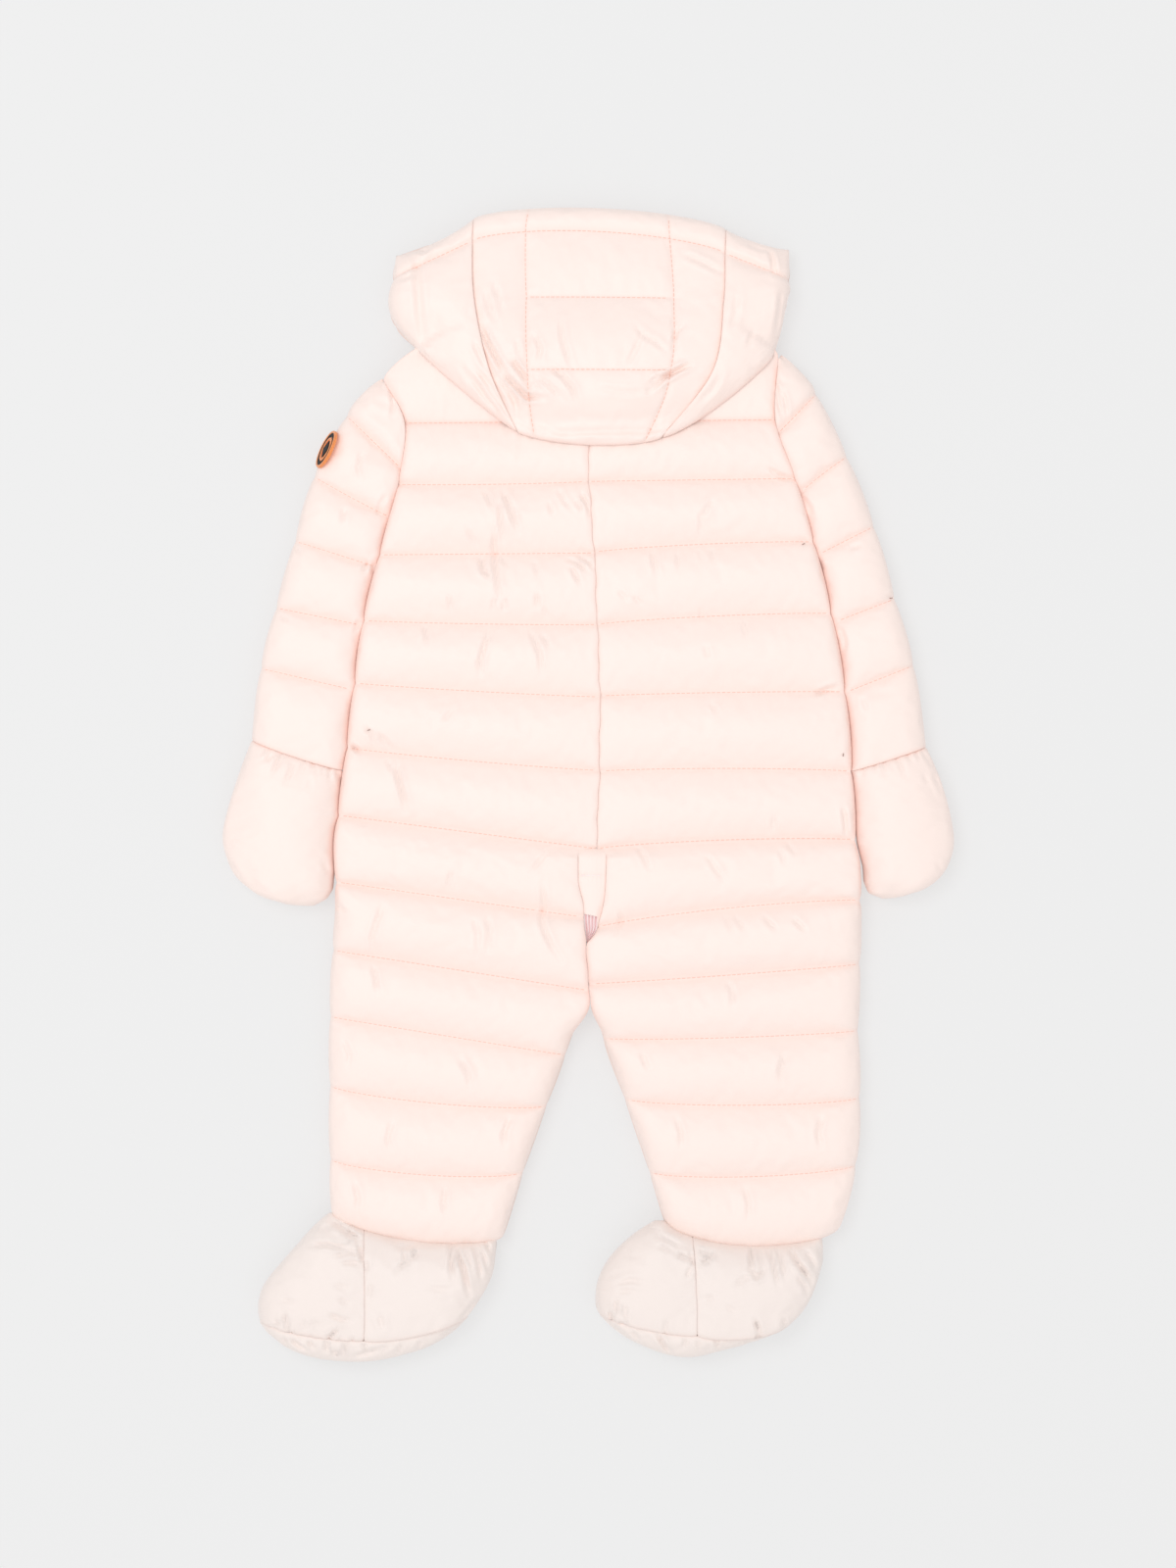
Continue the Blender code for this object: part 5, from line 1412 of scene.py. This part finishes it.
def makeUppers(look, side, body):
    # the halves on each side of the heel seam; returns the line where they meet the sole
    away = 1 if side == "right" else -1
    atHem, lower, reach = booties["ankle"]
    under, following = booties["hem"]
    seam = []
    for half, at, sign, bow in (("outer", 0, 1, look["lastBows"][0]), ("inner", 4, -1, look["lastBows"][1])):
        table = [(*b[at:at + 2], b[2] + sign * away * sewnGap / 2, b[3], 0, 1, 1, 0, 0) for b in look["rows"]]
        table[0] = (*table[0][:5], 0.7, 1, 0, 0.8)
        table[-1] = (*table[-1][:4], bow, 1, 1, 0, 0.14)
        panel = {
            **booties["upper"], "piece": f"bootie_{side}_{half}_upper", "node": f"bootie_{side}_{half}",
            "rows": rows(*table), "seed": look["seed"] + at, "creases": look["creases"][half],
        }
        lay = layOut(panel)
        # the first rows follow the leg's hem
        hem = onLine(lay["x"][:1], body["x"][-1], body["y"][-1])
        down = np.arange(len(lay["x"]))[:, None]
        lay["y"] = lay["y"] + (hem + under - lay["y"][:1]) * (1 - ease(down / following))
        ankle = lambda x, y: mix(atHem, lower, ease((onLine(x, lay["x"][0], lay["y"][0]) - y) / reach))
        quiltUpper(panel, lay, ankle, None, bootieNylon, False)
        seam += list(zip(lay["x"][-1], lay["y"][-1]))
    return np.array(sorted(seam))


def makeSole(look, side, seam):
    steps = np.linspace(0, len(look["sole"]) - 1, booties["soleRows"])
    seamX, outX, outY = (alongCurve(column, steps) for column in zip(*look["sole"]))
    seamY = np.interp(seamX, seam[:, 0], seam[:, 1]) + booties["soleLap"]
    sole = {
        **booties["sole"], "piece": f"bootie_{side}_sole_edge", "node": f"bootie_{side}_sole",
        "rows": rows(*((*places, 0, booties["soleLoft"], 1, 0, 0) for places in zip(outX, outY, seamX, seamY))),
        "seed": look["seed"] + 9, "creases": look["creases"]["sole"],
    }
    quiltUpper(sole, layRound(sole), lambda x, y: booties["soleTop"], None, bootieNylon, False)


def makeFoot(look, side, front):
    # the layer that rests on the table, from the leg's hem to the toe
    table = [(*b[:2], *b[4:], 0, 1, 1, 1) for b in look["rows"]]
    for inward in booties["toeRows"]:
        at = np.array([(len(look["sole"]) - 1) * inward])
        ends = []
        for outline in (look["sole"], look["sole"][::-1]):
            _, outX, outY = zip(*outline)
            ends.append((float(alongCurve(outX, at)[0]), float(alongCurve(outY, at)[0]) + 1))
        ends.sort(key=lambda end: -abs(end[0]))
        table.append((*ends[0], *ends[1], 0, 1, 1, 1))
    under = {**booties["foot"], "rows": rows(*table)}
    lay = layOut(under)
    hem = onLine(lay["x"], front["x"][-1], front["y"][-1])
    down = np.arange(len(lay["x"]))[:, None]
    gap, step, count = booties["footHem"]
    lay["y"] = np.where(down < count, np.minimum(lay["y"], hem - gap - down * step), lay["y"])
    lay["onRow"][:] = False
    underSide(under, lay, f"bootie_{side}_foot", f"bootie_{side}_vamp", bootieNylon)


for look, side, body, front in (
    (bootieLeft, "left", leftBody, leftFront), (bootieRight, "right", rightBody, rightFront),
):
    makeSole(look, side, makeUppers(look, side, body))
    makeFoot(look, side, front)
print("booties made")


# ---- gusset between the legs ----
gusset = {
    "rows": 30, "columns": 17,
    "top": -44.3,
    "bottom": -89.8,
    "heights": (
        (-100, 25.1), (-92, 26.6), (-85, 27.7), (-75, 28.3), (-60, 28.5), (-52, 28.4), (-48.5, 27.4), (-46, 25.0),
        (-44, 22.2),
    ),
    "level": 19.6,
    "bulge": 1.2,
    "foot": (2.3, 8, 0.82, 0.18),  # its slope down to the right, and the corner's drop, start and width
    "stitchRow": -62.9,
    "groove": (0.5, 1.5),  # depth and half width at the stitches
    "stitchesAbove": 0.75,
    "puckers": (0.3, 2.1, 7),  # height, closeness and reach
    "puckerRows": ((-46, 1), (-64, 0.7)),  # y, and share of the height
    "shades": (0.2, 0.7, 1.1),  # painted shade at the stitches and at the edges, and the edges' reach
    # the painted shade at the edges grows from this y downwards, over this far
    "shadeFrom": (-50, 25),
}
facing = {
    "rows": 16, "columns": 41, "top": -87.5, "bottom": -112.0, "inset": 0.2,
    "high": 23.6, "pleats": 4.5, "pleat": 0.7, "level": 21.6,
}


def splitAt(y, inset):
    # between the legs, from the left back's edge to the right back's
    return atHeight(backLeft["crotch"], y) + inset, atHeight(backRight["crotch"], y) - inset


def makeGusset():
    t, u = (np.linspace(0, 1, gusset[count]) for count in ("rows", "columns"))
    t, u = t[:, None], u[None, :]
    slope, drop, start, wide = gusset["foot"]
    y = mix(gusset["top"], gusset["bottom"] - slope * u - drop * ease((u - start) / wide), t)
    x = mix(*splitAt(y, sewnGap), u)
    depth, half = gusset["groove"]
    groove = np.exp(-(((y - gusset["stitchRow"]) / half) ** 2))
    high, close, reach = gusset["puckers"]
    where = sum(share * np.exp(-(((y - row) / reach) ** 2)) for row, share in gusset["puckerRows"])
    puckers = high * np.sin(x * close) * where
    heights = atHeight(gusset["heights"], y) + gusset["bulge"] * np.sin(math.pi * u) - depth * groove + puckers
    edge = np.minimum(x - x[:, :1], x[:, -1:] - x)
    # painted shade in the stitch groove, and along the edges beside the legs, deeper lower down
    atStitches, atEdges, reach = gusset["shades"]
    shadeShare = atEdges * downFrom(y, *gusset["shadeFrom"]) * np.exp(-((edge / reach) ** 2))
    lay = {"x": x, "y": y, "press": np.maximum(atStitches * groove, shadeShare)}
    quilt, _, _ = layGrid("crotch_gusset_quilt", lay, heights)
    smooth(quilt)
    closeLevel(quilt, gusset["level"])
    finishPiece(quilt, "crotch_gusset", suitNylon)
    row = gusset["stitchRow"]
    across = np.linspace(*splitAt(row, 1), 12)
    high = atHeight(gusset["heights"], row) + gusset["stitchesAbove"]
    line = np.stack([across + suitShift[0], np.full(12, row + suitShift[1]), np.full(12, high)], 1)
    declare(lay, heights, [sew("crotch_gusset_stitches", [line], facingNylon)])


def makeFacing():
    # the gathered strip that shows in the hole below the gusset
    t, u = (np.linspace(0, 1, facing[count]) for count in ("rows", "columns"))
    t, u = t[:, None], u[None, :]
    y = mix(facing["top"], facing["bottom"], t) + 0 * u
    left, right = splitAt(y, facing["inset"])
    wave = np.cos(2 * math.pi * facing["pleats"] * (u + 0.05 * np.sin(y / 5)))
    # painted shade in the troughs of the pleats
    lay = {"x": mix(left, right, u), "y": y, "press": 0.5 - 0.5 * wave}
    heights = facing["high"] + facing["pleat"] * wave * ease((right - left) / 7)
    strip, _, _ = layGrid("crotch_facing", lay, heights)
    smooth(strip)
    closeLevel(strip, facing["level"])
    finishPiece(strip, "crotch_gusset", facingNylon)
    declare(lay, heights)


makeGusset()
makeFacing()
print("gusset made")


# ---- zip ----
zipper = {
    "from": -39.5, "to": 280.5,
    "tape": (0.5, 2.7), "tapeFrom": 6.6, "tapeTo": 7.4,
    "pitch": 1.5, "tooth": (0.95, 2.0, 1.4), "toothBevel": 0.25, "toothHigh": 5.8, "toothAway": 0.55,
}
slider = {
    "plate": 0.45, "lift": 0.275,  # shares of the slider's height
    "cuts": 5, "narrow": 0.72, "rounding": 0.35,
    "ring": (2.5, 0.5), "ringWide": 1.5, "ringHigh": 0.58, "ringLift": 0.08,
}


def makeZip():
    ys = np.linspace(zipper["from"], zipper["to"], 161)
    middle = onLine(ys, leftFront["y"][:, -1], leftFront["x"][:, -1]) + zipRoom
    sides = ((-1, "left"), (1, "right"))
    for away, name in sides:
        x = middle[:, None] + away * np.linspace(*zipper["tape"], 4)[None, :]
        lay = {"x": x, "y": ys[:, None] + 0 * x, "press": 0 * x}
        tape, _, _ = layGrid(f"zip_tape_{name}", lay, np.full(x.shape, zipper["tapeFrom"]), facesUp=False)
        closeLevel(tape, zipper["tapeTo"])
        finishPiece(tape, "front_zip", tapeWeave)
    points, faces = roundedBar(*zipper["tooth"], zipper["toothBevel"])
    line = np.stack([middle + suitShift[0], ys + suitShift[1], np.full(len(ys), zipper["toothHigh"])], 1)
    for away, name in sides:
        side = line + (away * zipper["toothAway"], zipper["pitch"] / 2 * (away > 0), 0)
        teeth = copiesAlong(f"zip_teeth_{name}", points, faces, [side], zipper["pitch"], toothNylon)


def makeSlider():
    low, high = (np.array(c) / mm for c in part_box("zip_slider"))
    size, centre = high - low, (low + high) / 2
    bpy.ops.object.select_all(action="DESELECT")
    bpy.ops.mesh.primitive_cube_add(size=1)
    body = bpy.context.object
    body.name = body.data.name = "zip_slider_body"
    body.scale = (size[0], size[1], size[2] * slider["plate"])
    bpy.ops.object.transform_apply(location=False, rotation=False, scale=True)
    edit(bpy.ops.mesh.subdivide, number_cuts=slider["cuts"])
    points = getPoints(body)
    along = points[:, 1] / size[1] + 0.5
    points[:, 0] *= mix(slider["narrow"], 1, ease(along * 1.4))
    points[:, 2] += size[2] * slider["lift"]
    setPoints(body, points)
    selectOnly(body)
    bpy.ops.object.modifier_add(type="BEVEL")
    rounding = body.modifiers[-1]
    rounding.width, rounding.segments, rounding.limit_method = slider["rounding"], 3, "ANGLE"
    bpy.ops.object.modifier_apply(modifier=rounding.name)
    # the bridge that the pull hangs from
    radius, half = slider["ring"]
    bpy.ops.object.select_all(action="DESELECT")
    bpy.ops.mesh.primitive_torus_add(
        major_radius=radius, minor_radius=half, major_segments=36, minor_segments=10, rotation=(0, math.pi / 2, 0)
    )
    bridge = bpy.context.object
    bpy.ops.object.transform_apply(location=False, rotation=True, scale=False)
    points = getPoints(bridge)
    points[:, 2] = points[:, 2] / (radius + half) * size[2] * slider["ringHigh"] + size[2] * slider["ringLift"]
    points[:, 0] *= slider["ringWide"]
    setPoints(bridge, points)
    selectOnly(body, bridge)
    bpy.ops.object.join()
    points = getPoints(body)
    points[:, 2] = np.clip(points[:, 2], -size[2] / 2, size[2] / 2)
    setPoints(body, (points + centre) * mm)
    bpy.ops.object.shade_smooth_by_angle(angle=0.6)
    finishPiece(body, "zip_slider", sliderMetal)


makeZip()
makeSlider()
print("zip made")


# ---- badge ----
badge = {
    "middle": (-182.0, 232.3, 22.0), "along": (0.418, 0.908, 0.0), "tilt": 70.5,
    "radius": 14.0, "thick": 1.4, "rounding": 0.5,
    "rings": (  # radius, half width, half height, thread
        (10.8, 1.5, 0.45, "black"), (13.1, 0.9, 0.6, "orange"), (8.1, 0.8, 0.5, "orange"),
    ),
    "ringLift": 0.35,
    "threads": (96, 0.06),  # ridges round a ring, and their height
    "mark": (6.4, 0.9, 0.4),  # a plain diamond: radius, thickness, rounding
}


def roundedDisc(vertices, radius, thick, rounding, low=0.0):
    bpy.ops.object.select_all(action="DESELECT")
    place = (0, 0, low + thick / 2)
    bpy.ops.mesh.primitive_cylinder_add(vertices=vertices, radius=radius, depth=thick, location=place)
    disc = bpy.context.object
    bpy.ops.object.transform_apply(location=True, rotation=False, scale=False)
    edit(bpy.ops.mesh.bevel, offset=rounding, segments=3)
    return disc


def layBadge(shape, name, thread, replaced=None):
    # moves a shape from the badge's own axes to the sleeve
    tilt = math.radians(badge["tilt"])
    along = Vector(badge["along"]).normalized()
    face = Vector((-along.y * math.sin(tilt), along.x * math.sin(tilt), math.cos(tilt)))
    turn = Matrix((along, face.cross(along), face))
    shape.name = shape.data.name = name
    middle = np.array(badge["middle"]) + (*suitShift, 0)
    setPoints(shape, (getPoints(shape) @ np.array(turn) + middle) * mm)
    selectOnly(shape)
    bpy.ops.object.shade_smooth_by_angle(angle=0.7)
    shape.data.materials.append(blackThread if thread == "black" else orangeThread)
    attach(shape, "root")
    if replaced:
        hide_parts(replaced)


def makeBadge():
    disc = roundedDisc(96, badge["radius"], badge["thick"], badge["rounding"])
    layBadge(disc, "badge_ground", "orange", "badge_disc")
    for radius, half, high, thread in badge["rings"]:
        bpy.ops.object.select_all(action="DESELECT")
        bpy.ops.mesh.primitive_torus_add(major_radius=radius, minor_radius=half, major_segments=96, minor_segments=14)
        ring = bpy.context.object
        points = getPoints(ring)
        ridges, raised = badge["threads"]
        turn = np.arctan2(points[:, 1], points[:, 0])
        points[:, 2] = points[:, 2] * high / half + badge["thick"] + badge["ringLift"]
        points[:, 2] += raised * np.sin(turn * ridges)
        setPoints(ring, points)
        layBadge(ring, f"badge_{thread}_ring_{round(radius)}", thread, "badge_band" if thread == "black" else None)
    layBadge(roundedDisc(4, *badge["mark"], low=badge["thick"]), "badge_diamond", "black")


makeBadge()
print("badge made")


# ---- bar tacks ----
tacks = {
    "places": ((377, 745, 20), (860, 770, 80), (820, 555, 20), (910, 610, 10)),  # on the picture, and turn
    "bar": (0.8, 0.8, 0.5), "bevel": 0.2, "pitch": 0.7, "half": 1.4, "above": 0.1,
}


def makeTacks():
    lines = []
    for px, py, turn in tacks["places"]:
        x, y = fromPicture(px, py)
        z = float(bodyTop(x, y)) + tacks["above"]
        dx, dy = math.cos(math.radians(turn)), math.sin(math.radians(turn))
        ends = (-tacks["half"], 0, tacks["half"])
        lines.append([(x + suitShift[0] + k * dx, y + suitShift[1] + k * dy, z) for k in ends])
    points, faces = roundedBar(*tacks["bar"], tacks["bevel"])
    made = copiesAlong("bar_tacks", points, faces, lines, tacks["pitch"], tackThread)


makeTacks()
print("bar tacks made")


# ---- studio ----
studio = {
    "overhead": (15.0, (-0.75, 0.48, 2.6), 1.25),  # watts, place, and how wide
    "fill": (0.4, (0.04, -0.34, 0.94), 60),  # strength, where from, and the degrees that it fills
    "ambient": 0.76,
    "paper": 0.32,  # the lit table: what its top reflects, and its own glow
    "glow": 0.522,
    "camera": (-0.0003, 0.0003, 2.594),
    "lens": (85, 36),  # focal length and sensor
}
bpy.ops.object.select_all(action="DESELECT")
bpy.ops.mesh.primitive_plane_add(size=8, location=(0, 0, -0.0005))
floor = bpy.context.object
floor.name = "floor"
paper = Finish("light_table", roughness=0.9, colour=(studio["paper"],) * 3)
paper.shader.inputs["Specular IOR Level"].default_value = 0.1
paper.shader.inputs["Emission Color"].default_value = (1, 1, 1, 1)
paper.shader.inputs["Emission Strength"].default_value = studio["glow"]
floor.data.materials.append(paper.material)

world = bpy.data.worlds.new("studio")
bpy.context.scene.world = world
world.use_nodes = True
world.node_tree.nodes["Background"].inputs["Color"].default_value = (1, 1, 1, 1)
world.node_tree.nodes["Background"].inputs["Strength"].default_value = studio["ambient"]


def lamp(name, kind, strength, where):
    light = bpy.data.lights.new(name, kind)
    light.energy = strength
    made = bpy.data.objects.new(name, light)
    bpy.context.scene.collection.objects.link(made)
    made.location = where
    made.rotation_euler = Vector(where).to_track_quat("Z", "Y").to_euler()
    return light


overhead = lamp("overhead", "AREA", *studio["overhead"][:2])
overhead.shape, overhead.size = "DISK", studio["overhead"][2]
fill = lamp("fill", "SUN", *studio["fill"][:2])
fill.angle = math.radians(studio["fill"][2])

lens = bpy.data.cameras.new("camera")
lens.lens, lens.sensor_width = studio["lens"]
camera = bpy.data.objects.new("camera", lens)
bpy.context.scene.collection.objects.link(camera)
camera.location = studio["camera"]
bpy.context.scene.camera = camera
bpy.context.scene.view_settings.view_transform = "Standard"
print("studio set")
